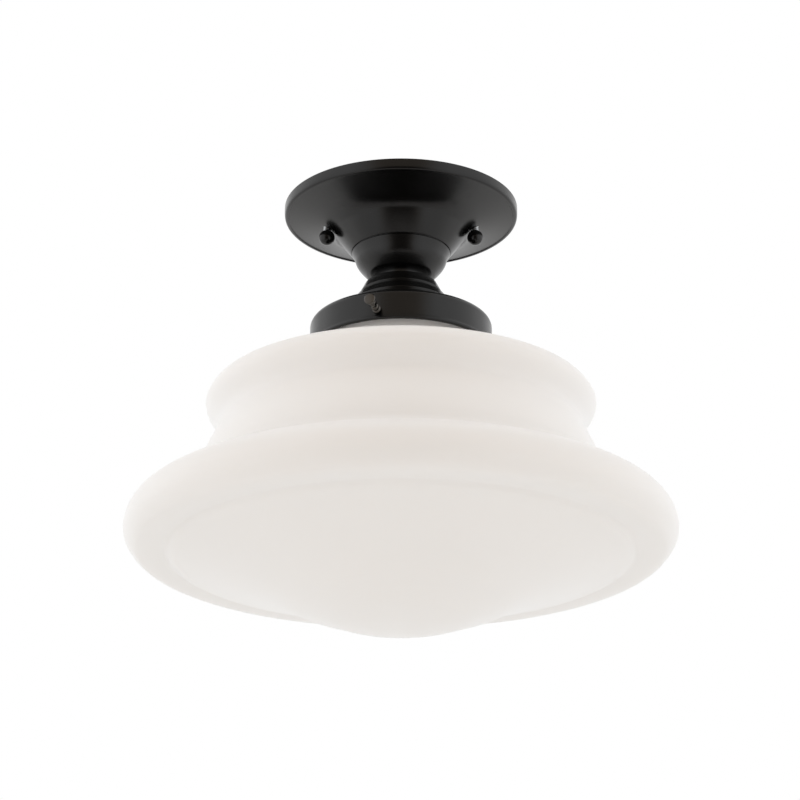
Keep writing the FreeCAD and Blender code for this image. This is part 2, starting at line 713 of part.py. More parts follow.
def box_slot(y):
    half = (BOX_SLOT_LENGTH - BOX_SLOT_WIDTH) / 2
    radius = BOX_SLOT_WIDTH / 2
    slot = Part.makeBox(BOX_SLOT_WIDTH, 2 * half, STRAP_THICKNESS + 2 * DRILL_OVERRUN,
                        Vector(-radius, y - half, -STRAP_THICKNESS - DRILL_OVERRUN))
    for end in (-half, half):
        slot = slot.fuse(bore(radius, 0, STRAP_THICKNESS, 0, y + end))
    return slot


def knob_washer_top():
    """The washer meets the sloping dish at its inner edge."""
    return depth_on(dish_flare(), STUD_X - KNOB_WASHER_RADIUS) + SEAT_GAP


def knob_top():
    return knob_washer_top() + KNOB_WASHER_THICKNESS + REST_GAP


def canopy_studs():
    reach = knob_top() + STUD_REACH
    return Part.makeCompound([rod(SMALL_SCREW_RADIUS, 0, reach, x) for x in (-STUD_X, STUD_X)])


def stud_lock_nuts():
    bottom = STRAP_THICKNESS + SMALL_NUT_HEIGHT
    hole = SMALL_SCREW_RADIUS + THREAD_CLEARANCE
    nuts = []
    for x in (-STUD_X, STUD_X):
        nuts.append(moved(hex_nut(SMALL_NUT_FLATS, hole, STRAP_THICKNESS, bottom), x))
    return Part.makeCompound(nuts)


def knob_washer(x):
    top = knob_washer_top()
    hole = SMALL_SCREW_RADIUS + THREAD_CLEARANCE
    return moved(ring(hole, KNOB_WASHER_RADIUS, top, top + KNOB_WASHER_THICKNESS), x)


def ball_knob(x):
    top = knob_top()
    centre = top + KNOB_BALL_DROP
    ball = Part.makeSphere(KNOB_BALL_RADIUS, Vector(0, 0, -centre))
    ball = ball.cut(rod(2 * KNOB_BALL_RADIUS, top - 2 * KNOB_BALL_RADIUS, top))
    hole = rod(SMALL_SCREW_RADIUS + THREAD_CLEARANCE, top - DRILL_OVERRUN, top + STUD_REACH + SEAT_GAP)
    return moved(ball.cut(hole), x)


def ground_screw():
    head_top = STRAP_THICKNESS + RING_TERMINAL_THICKNESS
    head_end = head_top + GROUND_HEAD_HEIGHT
    shank = rod(GROUND_SCREW_RADIUS, 0, head_end - SCREW_SLOT, 0, GROUND_SCREW_OFFSET)
    head = turned([
        (0, head_top, 0),
        (GROUND_HEAD_RADIUS, head_top, 0),
        (GROUND_HEAD_RADIUS, head_end, GROUND_HEAD_ROUND),
        (0, head_end, 0),
    ])
    head = head.cut(driver_slot(GROUND_HEAD_RADIUS, head_end - SCREW_SLOT))
    return shank.fuse(moved(head, 0, GROUND_SCREW_OFFSET)).removeSplitter()


def driver_slot(head_radius, top):
    """The cut across a screw's head, on the axis."""
    half_length = head_radius + DRILL_OVERRUN
    return Part.makeBox(2 * half_length, SCREW_SLOT, SCREW_SLOT,
                        Vector(-half_length, -SCREW_SLOT / 2, -top - SCREW_SLOT))


def ring_terminal(hole, top, y, crimp_y, crimp_end):
    """A flat ring with a tongue to a crimp that stands upright at crimp_y."""
    bottom = top + RING_TERMINAL_THICKNESS
    plate = rod(hole + RING_TERMINAL_WIDTH, top, bottom, 0, y)
    tongue = Part.makeBox(2 * CRIMP_RADIUS, abs(crimp_y - y), RING_TERMINAL_THICKNESS,
                          Vector(-CRIMP_RADIUS, min(y, crimp_y), -bottom))
    start = min(top, crimp_end)
    crimp = rod(CRIMP_RADIUS, start, max(bottom, crimp_end), 0, crimp_y)
    terminal = plate.fuse(tongue).fuse(crimp).cut(bore(hole, top, bottom, 0, y))
    return terminal.removeSplitter()


def ground_terminals():
    strap_ring = ring_terminal(GROUND_SCREW_RADIUS + THREAD_CLEARANCE, STRAP_THICKNESS,
                               GROUND_SCREW_OFFSET, STRAP_CRIMP_Y, STRAP_CRIMP_END)
    cup_ring = ring_terminal(NIPPLE_RADIUS + THREAD_CLEARANCE, CUP_RING_TOP,
                             0, GROUND_LEAD_OFFSET, CUP_CRIMP_END)
    return Part.makeCompound([strap_ring, cup_ring])


def ground_lead():
    third = (CUP_CRIMP_END - STRAP_CRIMP_END) / 3
    route = [
        Vector(0, GROUND_LEAD_OFFSET, -CUP_CRIMP_END),
        Vector(0, GROUND_LEAD_OFFSET, -CUP_CRIMP_END + third),
        Vector(0, STRAP_CRIMP_Y, -STRAP_CRIMP_END - third),
        Vector(0, STRAP_CRIMP_Y, -STRAP_CRIMP_END),
    ]
    return tube(route, LEAD_RADIUS, "ground_lead")


def supply_lead(side, name):
    """A lead from the lamp holder, up through the nipple, into its connector."""
    top_exit = NIPPLE_TOP - LEAD_EXIT
    bottom_exit = NIPPLE_BOTTOM + LEAD_EXIT
    rise = (NIPPLE_TOP - CONNECTOR_MOUTH_DEPTH) * LEAD_SLOPE_SHARE
    fall = (HOLDER_TOP - NIPPLE_BOTTOM) * LEAD_SLOPE_SHARE
    route = [
        Vector(side * LEAD_HOLE_OFFSET, 0, -HOLDER_TOP - LEAD_HOLE_DEPTH + SEAT_GAP),
        Vector(side * LEAD_HOLE_OFFSET, 0, -bottom_exit - fall),
        Vector(side * LEAD_SPREAD, 0, -bottom_exit),
        Vector(side * LEAD_SPREAD, 0, -top_exit),
        Vector(side * CONNECTOR_OFFSET, 0, -top_exit + rise),
        Vector(side * CONNECTOR_OFFSET, 0, -CONNECTOR_MOUTH_DEPTH + LEAD_INSERTION),
    ]
    return tube(route, LEAD_RADIUS, name)


def wire_connectors():
    top = CONNECTOR_MOUTH_DEPTH - CONNECTOR_LENGTH
    mouth = CONNECTOR_MOUTH_DEPTH
    skirt = mouth - CONNECTOR_SKIRT_HEIGHT
    hole = LEAD_RADIUS + HOLE_CLEARANCE
    connectors = []
    for side in (-1, 1):
        shell = turned([
            (0, top, 0),
            (CONNECTOR_TOP_RADIUS, top, ROUND_EDGE),
            (CONNECTOR_MOUTH_RADIUS - CONNECTOR_SKIRT_PROUD, skirt - CONNECTOR_SKIRT_STEP, SOFT_EDGE),
            (CONNECTOR_MOUTH_RADIUS, skirt, SOFT_EDGE),
            (CONNECTOR_MOUTH_RADIUS, mouth, SOFT_EDGE),
            (hole, mouth, FINE_EDGE),
            (hole, mouth - CONNECTOR_BORE_DEPTH, 0),
            (0, mouth - CONNECTOR_BORE_DEPTH, 0),
        ])
        connectors.append(moved(shell, side * CONNECTOR_OFFSET))
    return Part.makeCompound(connectors)


def centre_nipple():
    return ring(NIPPLE_BORE_RADIUS, NIPPLE_RADIUS, NIPPLE_TOP, NIPPLE_BOTTOM)


def lock_washer(top):
    return ring(NIPPLE_RADIUS + THREAD_CLEARANCE, LOCK_WASHER_RADIUS, top, top + LOCK_WASHER_THICKNESS)


def nipple_nut(top):
    hole = NIPPLE_RADIUS + THREAD_CLEARANCE
    return hex_nut(NIPPLE_NUT_FLATS, hole, top, top + NIPPLE_NUT_HEIGHT)


def socket_bracket():
    """A folded steel hat that hangs the lamp holder from the nipple."""
    half = BRACKET_HALF_SPAN
    inner = half - BRACKET_THICKNESS
    top = FITTER_CEILING
    web = BRACKET_SEAT
    bend = BRACKET_BEND
    outer_bend = BRACKET_BEND + BRACKET_THICKNESS
    toe = HOLDER_SCREW_X + HOLDER_SCREW_HEAD_RADIUS + BRACKET_TOE
    profile = rounded([
        (-half, top, outer_bend),
        (half, top, outer_bend),
        (half, BRACKET_FOOT, bend),
        (toe, BRACKET_FOOT, 0),
        (toe, HOLDER_TOP, 0),
        (inner, HOLDER_TOP, outer_bend),
        (inner, web, bend),
        (-inner, web, bend),
        (-inner, HOLDER_TOP, outer_bend),
        (-toe, HOLDER_TOP, 0),
        (-toe, BRACKET_FOOT, 0),
        (-half, BRACKET_FOOT, bend),
    ])
    bracket = Part.Face(profile).extrude(Vector(0, BRACKET_WIDTH, 0))
    bracket.translate(Vector(0, -BRACKET_WIDTH / 2, 0))
    bracket = bracket.cut(bore(NIPPLE_RADIUS + THREAD_CLEARANCE, top, web))
    hole = HOLDER_SCREW_RADIUS + THREAD_CLEARANCE
    for side in (-1, 1):
        bracket = bracket.cut(bore(hole, BRACKET_FOOT, HOLDER_TOP, side * HOLDER_SCREW_X))
    return bracket


def holder_screws():
    head_top = BRACKET_FOOT - HOLDER_SCREW_HEAD_HEIGHT
    screws = []
    for side in (-1, 1):
        shank = rod(HOLDER_SCREW_RADIUS, head_top + SCREW_SLOT, BRACKET_FOOT + HOLDER_SCREW_LENGTH)
        head = rod(HOLDER_SCREW_HEAD_RADIUS, head_top, BRACKET_FOOT)
        head = head.cut(driver_slot(HOLDER_SCREW_HEAD_RADIUS, head_top))
        screw = shank.fuse(head).removeSplitter()
        screws.append(moved(screw, side * HOLDER_SCREW_X))
    return Part.makeCompound(screws)


def socket_body():
    flange = HOLDER_TOP + HOLDER_FLANGE_HEIGHT
    bottom = HOLDER_TOP + HOLDER_HEIGHT
    body = turned([
        (0, HOLDER_TOP, 0),
        (HOLDER_FLANGE_RADIUS, HOLDER_TOP, HOLDER_FLANGE_ROUND),
        (HOLDER_FLANGE_RADIUS, flange, HOLDER_FLANGE_ROUND),
        (HOLDER_RADIUS + HOLDER_TAPER, flange + HOLDER_TAPER_DROP, ROUND_EDGE),
        (HOLDER_RADIUS, bottom, ROUND_EDGE),
        (HOLDER_BORE_RADIUS, bottom, SOFT_EDGE),
        (HOLDER_BORE_RADIUS, HOLDER_CONTACT, SOFT_EDGE),
        (0, HOLDER_CONTACT, 0),
    ])
    start = HOLDER_TOP - DRILL_OVERRUN
    screw_hole = HOLDER_SCREW_RADIUS + THREAD_CLEARANCE
    screw_end = BRACKET_FOOT + HOLDER_SCREW_LENGTH + SEAT_GAP
    lead_hole = LEAD_RADIUS + REST_GAP
    lead_end = HOLDER_TOP + LEAD_HOLE_DEPTH
    for side in (-1, 1):
        body = body.cut(rod(screw_hole, start, screw_end, side * HOLDER_SCREW_X))
        body = body.cut(rod(lead_hole, start, lead_end, side * LEAD_HOLE_OFFSET))
    return body


def rolled_thread(radius, top, turns):
    """Poles of a rolled thread's wave, as rings one pitch apart."""
    poles = [(radius, top)]
    for i in range(turns):
        start = top + THREAD_PITCH * (i + 0.5)
        poles.append((radius + THREAD_WAVE, start))
        poles.append((radius - THREAD_WAVE, start + THREAD_PITCH / 2))
    poles.append((radius, top + THREAD_PITCH * (turns + 0.5)))
    return poles


def threaded_sleeve(radius, wall, top, bottom, turns):
    """A thin sleeve with a rolled thread and a plain skirt below it."""
    outer = rolled_thread(radius, top, turns)
    inner = [(r - wall, depth) for r, depth in outer]
    wire = Part.Wire([
        spline(outer),
        line(at(*outer[-1]), at(radius, bottom)),
        line(at(radius, bottom), at(radius - wall, bottom)),
        line(at(radius - wall, bottom), at(*inner[-1])),
        spline(inner),
        line(at(*inner[0]), at(*outer[0])),
    ])
    return turn(wire)


def screw_shell():
    top = HOLDER_CONTACT + SHELL_LIFT
    return threaded_sleeve(SHELL_RADIUS, SHELL_WALL, top, top + SHELL_HEIGHT, SHELL_TURNS)


def centre_contact():
    return rod(CONTACT_RADIUS, HOLDER_CONTACT, HOLDER_CONTACT + CONTACT_HEIGHT)


def bulb_contact():
    return turned([
        (0, BULB_TOP, 0),
        (BULB_CONTACT_RADIUS, BULB_TOP, BULB_CONTACT_ROUND),
        (BULB_CONTACT_RADIUS, BULB_TOP + BULB_CONTACT_HEIGHT, 0),
        (0, BULB_TOP + BULB_CONTACT_HEIGHT, 0),
    ])


def bulb_insulator():
    top = BULB_TOP + BULB_CONTACT_HEIGHT
    return turned([
        (0, top, 0),
        (BULB_CONTACT_RADIUS + BULB_INSULATOR_PROUD, top, 0),
        (BULB_CAP_RADIUS - BULB_INSULATOR_INSET, BULB_CAP_TOP, 0),
        (0, BULB_CAP_TOP, 0),
    ])


def bulb_cap():
    top = BULB_CAP_TOP
    sleeve = threaded_sleeve(BULB_CAP_RADIUS, BULB_CAP_WALL, top, top + BULB_CAP_HEIGHT, CAP_TURNS)
    lid = ring(BULB_CONTACT_RADIUS, BULB_CAP_RADIUS - BULB_CAP_WALL / 2, top, top + BULB_CAP_WALL)
    return sleeve.fuse(lid).removeSplitter()


def bulb_envelope():
    neck_top = BULB_CAP_TOP + BULB_CAP_HEIGHT - BULB_NECK_INSERTION
    belly = BULB_END - BULB_RADIUS
    outer = [
        (BULB_NECK_RADIUS, neck_top),
        (BULB_NECK_RADIUS, neck_top + BULB_NECK_LENGTH),
        (BULB_NECK_RADIUS + BULB_NECK_FLARE, belly - BULB_FLARE_RISE),
        (BULB_RADIUS - BULB_SHOULDER_INSET, belly - BULB_SHOULDER_RISE),
        (BULB_RADIUS, belly - BULB_BELLY_RISE),
        (BULB_RADIUS, belly + BULB_BELLY_DROP),
        (BULB_END_RADIUS, BULB_END),
        (0.0, BULB_END),
    ]
    inner = offset_poles(outer, BULB_GLASS)
    wire = Part.Wire([
        spline(outer),
        line(at(*outer[-1]), at(*inner[-1])),
        spline(inner),
        line(at(*inner[0]), at(*outer[0])),
    ])
    return turn(wire)


def build():
    pieces = {
        "canopy_dish": canopy_dish(),
        "canopy_cup": canopy_cup(),
        "neck_collar": neck_collar(),
        "shade_fitter": shade_fitter(),
        "shade_glass": shade_glass(),
        "mounting_strap": mounting_strap(),
        "canopy_studs": canopy_studs(),
        "stud_lock_nuts": stud_lock_nuts(),
        "ground_screw": ground_screw(),
        "ground_terminals": ground_terminals(),
        "ground_lead": ground_lead(),
        "black_lead": supply_lead(1, "black_lead"),
        "white_lead": supply_lead(-1, "white_lead"),
        "wire_connectors": wire_connectors(),
        "centre_nipple": centre_nipple(),
        "upper_lock_washer": lock_washer(UPPER_WASHER_TOP),
        "upper_nipple_nut": nipple_nut(UPPER_NUT_TOP),
        "socket_bracket": socket_bracket(),
        "lower_lock_washer": lock_washer(BRACKET_SEAT),
        "lower_nipple_nut": nipple_nut(LOWER_NUT_TOP),
        "holder_screws": holder_screws(),
        "socket_body": socket_body(),
        "screw_shell": screw_shell(),
        "centre_contact": centre_contact(),
        "bulb_contact": bulb_contact(),
        "bulb_insulator": bulb_insulator(),
        "bulb_cap": bulb_cap(),
        "bulb_envelope": bulb_envelope(),
    }
    for i, x in enumerate((-STUD_X, STUD_X)):
        pieces["knob_washer_%d" % (i + 1)] = knob_washer(x)
        pieces["ball_knob_%d" % (i + 1)] = ball_knob(x)
    for i, azimuth in enumerate(thumbscrew_azimuths()):
        pieces["thumb_screw_%d" % (i + 1)] = thumb_screw(azimuth)
        pieces["screw_tip_%d" % (i + 1)] = screw_tip(azimuth)
    return pieces


os.makedirs("parts", exist_ok=True)
for node, shape in build().items():
    box = shape.optimalBoundingBox()
    solids = len(shape.Solids)
    print("%-20s solids %d valid %s volume %.1f z %.2f %.2f x %.2f %.2f" % (
        node, solids, shape.isValid(), shape.Volume, box.ZMin, box.ZMax, box.XMin, box.XMax))
    shape.exportStep("parts/%s.step" % node)
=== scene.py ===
import json
import math

import bmesh
import bpy
from mathutils import Matrix, Vector


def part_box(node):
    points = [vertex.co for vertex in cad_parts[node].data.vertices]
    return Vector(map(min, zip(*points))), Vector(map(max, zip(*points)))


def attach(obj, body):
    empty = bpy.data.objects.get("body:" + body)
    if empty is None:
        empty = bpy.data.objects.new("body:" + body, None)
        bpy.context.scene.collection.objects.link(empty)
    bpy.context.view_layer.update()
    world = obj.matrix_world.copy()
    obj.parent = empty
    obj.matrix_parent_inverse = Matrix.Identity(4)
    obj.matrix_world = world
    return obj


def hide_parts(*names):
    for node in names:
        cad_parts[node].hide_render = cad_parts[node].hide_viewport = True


# Semi flush ceiling light: satin black metal over one white opal glass shade.
# Outlines are (radius, depth) in millimetres, depth being the distance below the
# ceiling. Everything else is in metres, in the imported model's frame: its origin lies in
# the ceiling plane on the light's axis, and +Z points up.
MM = 0.001

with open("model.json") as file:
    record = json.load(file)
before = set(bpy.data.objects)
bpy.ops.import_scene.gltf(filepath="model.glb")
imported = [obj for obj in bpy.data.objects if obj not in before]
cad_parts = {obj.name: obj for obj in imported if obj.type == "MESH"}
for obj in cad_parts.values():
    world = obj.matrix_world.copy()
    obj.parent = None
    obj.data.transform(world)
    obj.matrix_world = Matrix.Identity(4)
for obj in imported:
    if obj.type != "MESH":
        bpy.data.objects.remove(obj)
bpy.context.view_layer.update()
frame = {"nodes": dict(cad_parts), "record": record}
NODES = frame["nodes"]
RECORD = frame["record"]


# ---------------------------------------------------------------- camera
PHOTO_SIZE = 800
FOCAL_PIXELS = 2550.0
SENSOR_WIDTH = 36.0
CAMERA_PITCH = math.radians(21.08)
CAMERA_PLACE = Vector((0.0, -1.39158, -0.65878))
AXIS_PIXEL = 401.0


def make_camera():
    data = bpy.data.cameras.new("photo_camera")
    data.sensor_width = SENSOR_WIDTH
    data.lens = FOCAL_PIXELS * SENSOR_WIDTH / PHOTO_SIZE
    data.shift_x = (PHOTO_SIZE / 2 - AXIS_PIXEL) / PHOTO_SIZE
    data.clip_start = 0.05
    data.clip_end = 50.0
    camera = bpy.data.objects.new("photo_camera", data)
    camera.location = CAMERA_PLACE
    camera.rotation_euler = (math.pi / 2 + CAMERA_PITCH, 0.0, 0.0)
    bpy.context.scene.collection.objects.link(camera)
    bpy.context.scene.camera = camera


make_camera()


# ---------------------------------------------------------------- node and colour helpers
def srgb(code):
    """A hex sRGB colour as linear RGBA."""
    channels = []
    for start in (1, 3, 5):
        value = int(code[start:start + 2], 16) / 255.0
        linear = value / 12.92 if value <= 0.04045 else ((value + 0.055) / 1.055) ** 2.4
        channels.append(linear)
    return (*channels, 1.0)


def add(tree, kind, settings=None, **inputs):
    """One node, with its settings, and its inputs given as values or as other sockets.

    An input is named with _ for a space, or i and its number.
    """
    node = tree.nodes.new(kind)
    for name, value in (settings or {}).items():
        setattr(node, name, value)
    for name, value in inputs.items():
        numbered = name[0] == "i" and name[1:].isdigit()
        socket = node.inputs[int(name[1:])] if numbered else node.inputs[name.replace("_", " ")]
        if isinstance(value, bpy.types.NodeSocket):
            tree.links.new(value, socket)
        else:
            socket.default_value = value
    return node


def new_material(name):
    material = bpy.data.materials.new(name)
    material.use_nodes = True
    material.node_tree.nodes.clear()
    return material, material.node_tree


def finish_material(tree, shader):
    output = add(tree, "ShaderNodeOutputMaterial")
    tree.links.new(shader.outputs[0], output.inputs["Surface"])


# ---------------------------------------------------------------- light and surroundings
WORLD_LEVEL = 0.95
# The unlit strip lies towards the viewer. It ends sideways between the first pair of
# values of the direction's X, and backwards between the second pair, of its Y. In the
# metal's mirror it lightens upwards between the third pair, of its Z.
STRIP_SIDE = (0.26, 0.58)
STRIP_BACK = (-0.50, -0.10)
EYE_LEVEL = (-0.05, 0.25)
STRIP_TINT = "#ffedda"
VIEWER_SHADE = 0.66
MIRRORED_VIEWER = 0.06
MIRRORED_ABOVE_VIEWER = 0.50
MIRRORED_FLOOR = 0.6
FLOOR_DEPTH = -1.3
FLOOR_HALF_WIDTH = 6.0
FLOOR_FRONT = -0.75
SOFTBOX_SIZE = 2.4
SOFTBOX_AIM = (0.0, 0.0, -0.13)


def make_world():
    """A white studio. The side towards the viewer is an unlit strip of the room, and is
    darkest below eye level, where the viewer stands."""
    world = bpy.data.worlds.new("white_studio")
    world.use_nodes = True
    tree = world.node_tree
    tree.nodes.clear()
    rays = add(tree, "ShaderNodeLightPath")
    toward = add(tree, "ShaderNodeSeparateXYZ", Vector=add(tree, "ShaderNodeTexCoord").outputs["Generated"])
    aside = add(tree, "ShaderNodeMath", {"operation": "ABSOLUTE"}, i0=toward.outputs["X"])
    beside = add(tree, "ShaderNodeMapRange", {"interpolation_type": "SMOOTHSTEP"},
                 Value=aside.outputs[0], From_Min=STRIP_SIDE[0], From_Max=STRIP_SIDE[1])
    behind = add(tree, "ShaderNodeMapRange", {"interpolation_type": "SMOOTHSTEP"},
                 Value=toward.outputs["Y"], From_Min=STRIP_BACK[0], From_Max=STRIP_BACK[1])
    open_side = add(tree, "ShaderNodeMath", {"operation": "MAXIMUM"},
                    i0=beside.outputs[0], i1=behind.outputs[0])
    mirrored = add(tree, "ShaderNodeMapRange", {"interpolation_type": "SMOOTHSTEP"},
                   Value=toward.outputs["Z"], From_Min=EYE_LEVEL[0], From_Max=EYE_LEVEL[1],
                   To_Min=MIRRORED_VIEWER, To_Max=MIRRORED_ABOVE_VIEWER)
    shade = add(tree, "ShaderNodeMapRange", Value=rays.outputs["Is Glossy Ray"],
                To_Min=VIEWER_SHADE, To_Max=mirrored.outputs[0])
    around = add(tree, "ShaderNodeMapRange", Value=open_side.outputs[0],
                 To_Min=shade.outputs[0], To_Max=1.0)
    level = add(tree, "ShaderNodeMapRange", Value=rays.outputs["Is Glossy Ray"],
                To_Min=WORLD_LEVEL, To_Max=1.0)
    lit = add(tree, "ShaderNodeMath", {"operation": "MULTIPLY"}, i0=around.outputs[0], i1=level.outputs[0])
    seen = add(tree, "ShaderNodeMath", {"operation": "MAXIMUM"},
               i0=rays.outputs["Is Camera Ray"], i1=rays.outputs["Is Transmission Ray"])
    strength = add(tree, "ShaderNodeMix", {"data_type": "FLOAT"},
                   i0=seen.outputs[0], i2=lit.outputs[0], i3=1.0)
    unlit = add(tree, "ShaderNodeMath", {"operation": "MAXIMUM"}, i0=open_side.outputs[0], i1=seen.outputs[0])
    tint = add(tree, "ShaderNodeMix", {"data_type": "RGBA"}, i0=unlit.outputs[0],
               i6=srgb(STRIP_TINT), i7=srgb("#ffffff"))
    background = add(tree, "ShaderNodeBackground", Color=tint.outputs[2], Strength=strength.outputs[0])
    output = add(tree, "ShaderNodeOutputWorld")
    tree.links.new(background.outputs[0], output.inputs["Surface"])
    bpy.context.scene.world = world


def softbox(name, place, watts):
    data = bpy.data.lights.new(name, "AREA")
    data.shape = "SQUARE"
    data.size = SOFTBOX_SIZE
    data.energy = watts
    lamp = bpy.data.objects.new(name, data)
    lamp.location = place
    lamp.rotation_euler = (Vector(SOFTBOX_AIM) - Vector(place)).to_track_quat("-Z", "Y").to_euler()
    bpy.context.scene.collection.objects.link(lamp)


def make_floor():
    """A pale floor far below. It is white to the camera and dimmer in the metal's mirror,
    and it ends short of the viewer, so that the canopy mirrors the unlit strip there."""
    mesh = bpy.data.meshes.new("studio_floor")
    back = FLOOR_HALF_WIDTH
    places = [(-back, FLOOR_FRONT), (back, FLOOR_FRONT), (back, back), (-back, back)]
    mesh.from_pydata([(x, y, FLOOR_DEPTH) for x, y in places], [], [(0, 1, 2, 3)])
    floor = bpy.data.objects.new("studio_floor", mesh)
    bpy.context.scene.collection.objects.link(floor)
    material, tree = new_material("pale_floor")
    rays = add(tree, "ShaderNodeLightPath")
    paint = add(tree, "ShaderNodeBsdfDiffuse", Color=srgb("#f4f3f1"))
    white = add(tree, "ShaderNodeEmission", Color=(1.0, 1.0, 1.0, 1.0), Strength=1.0)
    seen = add(tree, "ShaderNodeMath", {"operation": "MAXIMUM"},
               i0=rays.outputs["Is Camera Ray"], i1=rays.outputs["Is Transmission Ray"])
    mirrored = add(tree, "ShaderNodeMath", {"operation": "MULTIPLY"},
                   i0=rays.outputs["Is Glossy Ray"], i1=MIRRORED_FLOOR)
    share = add(tree, "ShaderNodeMath", {"operation": "MAXIMUM"}, i0=seen.outputs[0], i1=mirrored.outputs[0])
    finish_material(tree, add(tree, "ShaderNodeMixShader", i0=share.outputs[0],
                              i1=paint.outputs[0], i2=white.outputs[0]))
    mesh.materials.append(material)


make_world()
make_floor()
softbox("left_softbox", (-1.6, -0.3, 0.1), 4.4)
softbox("right_softbox", (1.6, -0.3, 0.1), 3.4)
bpy.context.scene.view_settings.view_transform = "Standard"


# ---------------------------------------------------------------- finishes
def grained(name, colour, other, roughness, spread, grain, relief, **shader):
    """A solid finish whose colour, gloss and surface all vary with one fine grain.

    The grain is its size in millimetres, and the relief its height in millimetres.
    """
    material, tree = new_material(name)
    place = add(tree, "ShaderNodeTexCoord").outputs["Object"]
    speck = add(tree, "ShaderNodeTexNoise", Vector=place, Scale=1.0 / (grain * MM), Detail=3.0, Roughness=0.6)
    broad = add(tree, "ShaderNodeTexNoise", Vector=place, Scale=0.06 / (grain * MM), Detail=2.0)
    tint = add(tree, "ShaderNodeMix", {"data_type": "RGBA"}, i0=broad.outputs[0],
               i6=srgb(colour), i7=srgb(other))
    gloss = add(tree, "ShaderNodeMapRange", Value=broad.outputs[0], From_Min=0.3, From_Max=0.7,
                To_Min=roughness - spread, To_Max=roughness + spread)
    bump = add(tree, "ShaderNodeBump", Height=speck.outputs[0], Distance=relief * MM, Strength=1.0)
    principled = add(tree, "ShaderNodeBsdfPrincipled", Base_Color=tint.outputs[2],
                     Roughness=gloss.outputs[0], Normal=bump.outputs[0], **shader)
    finish_material(tree, principled)
    return material


def drawn(name, colour, other, roughness, line, relief, along):
    """A rolled or drawn metal, with fine lines that run one way, line millimetres apart."""
    material, tree = new_material(name)
    place = add(tree, "ShaderNodeTexCoord").outputs["Object"]
    stretch = [0.04 if axis == along else 1.0 for axis in "XYZ"]
    lines = add(tree, "ShaderNodeMapping", Vector=place, Scale=stretch)
    streak = add(tree, "ShaderNodeTexNoise", Vector=lines.outputs[0], Scale=1.0 / (line * MM), Detail=4.0)
    patch = add(tree, "ShaderNodeTexNoise", Vector=place, Scale=140.0, Detail=2.0)
    tint = add(tree, "ShaderNodeMix", {"data_type": "RGBA"}, i0=patch.outputs[0],
               i6=srgb(colour), i7=srgb(other))
    gloss = add(tree, "ShaderNodeMapRange", Value=streak.outputs[0], From_Min=0.3, From_Max=0.7,
                To_Min=roughness - 0.07, To_Max=roughness + 0.07)
    bump = add(tree, "ShaderNodeBump", Height=streak.outputs[0], Distance=relief * MM, Strength=0.6)
    principled = add(tree, "ShaderNodeBsdfPrincipled", Base_Color=tint.outputs[2], Metallic=1.0,
                     Roughness=gloss.outputs[0], Normal=bump.outputs[0])
    finish_material(tree, principled)
    return material


def make_opal_glass():
    """Opal glass, blown in a mould: a white body that light sinks into by a few
    millimetres, under a soft satin skin with the slow waves of the blow."""
    material, tree = new_material("blown_opal_glass")
    place = add(tree, "ShaderNodeTexCoord").outputs["Object"]
    wave = add(tree, "ShaderNodeTexNoise", Vector=place, Scale=1.0 / (22.0 * MM), Detail=1.5, Roughness=0.4)
    cord_lines = add(tree, "ShaderNodeMapping", Vector=place, Scale=(1.0, 1.0, 3.0))
    cords = add(tree, "ShaderNodeTexNoise", Vector=cord_lines.outputs[0], Scale=1.0 / (60.0 * MM), Detail=2.0)
    tint = add(tree, "ShaderNodeMix", {"data_type": "RGBA"}, i0=cords.outputs[0],
               i6=srgb("#fbfaf9"), i7=srgb("#f8f7f6"))
    ripple = add(tree, "ShaderNodeBump", Height=wave.outputs[0], Distance=0.10 * MM, Strength=0.5)
    principled = add(tree, "ShaderNodeBsdfPrincipled", Base_Color=tint.outputs[2], Roughness=0.30,
                     IOR=1.33, Subsurface_Weight=0.35, Subsurface_Radius=(1.0, 0.97, 0.94),
                     Subsurface_Scale=4.0 * MM, Normal=ripple.outputs[0])
    finish_material(tree, principled)
    return material


# Sprayed and baked black enamel on spun steel: near black, a clear satin gloss and a
# faint orange peel.
BLACK_ENAMEL = grained("baked_black_enamel", "#060606", "#080808", 0.24, 0.02, 1.4, 0.006, IOR=1.44)
OPAL_GLASS = make_opal_glass()
# Bright zinc plate on rolled strip: bluish silver, with the lines of the roll.
ZINC_STRIP = drawn("zinc_plated_strip", "#c6c9cc", "#b3b6ba", 0.30, 0.35, 0.004, "X")
# Bright zinc plate on turned and rolled threads: the same silver, tumbled to an even sheen.
ZINC_TURNED = grained("zinc_plated_thread", "#c4c6c8", "#aeb1b4", 0.30, 0.05, 0.5, 0.004, Metallic=1.0)
# Zinc plate dyed green, the mark of a ground screw.
GREEN_ZINC = grained("green_dyed_zinc", "#1f8a4c", "#17703c", 0.34, 0.05, 0.5, 0.004, Metallic=1.0)
# Tinned copper strip, pressed: a soft pale grey with a warm cast.
TINNED_COPPER = grained("tinned_copper", "#c9c3b8", "#b8b1a5", 0.36, 0.06, 0.7, 0.006, Metallic=1.0)
# Extruded PVC insulation: a soft sheen and the slight waver of the die.
GREEN_PVC = grained("green_pvc_insulation", "#1d7a3e", "#196b36", 0.42, 0.05, 1.2, 0.02)
BLACK_PVC = grained("black_pvc_insulation", "#161617", "#1c1c1d", 0.42, 0.05, 1.2, 0.02)
WHITE_PVC = grained("white_pvc_insulation", "#ecece8", "#e2e2dc", 0.42, 0.05, 1.2, 0.02)
# Moulded orange thermoplastic of a wire connector: opaque, with a fine spark texture.
ORANGE_PLASTIC = grained("moulded_orange_plastic", "#e8701c", "#dd6617", 0.45, 0.04, 0.4, 0.015)
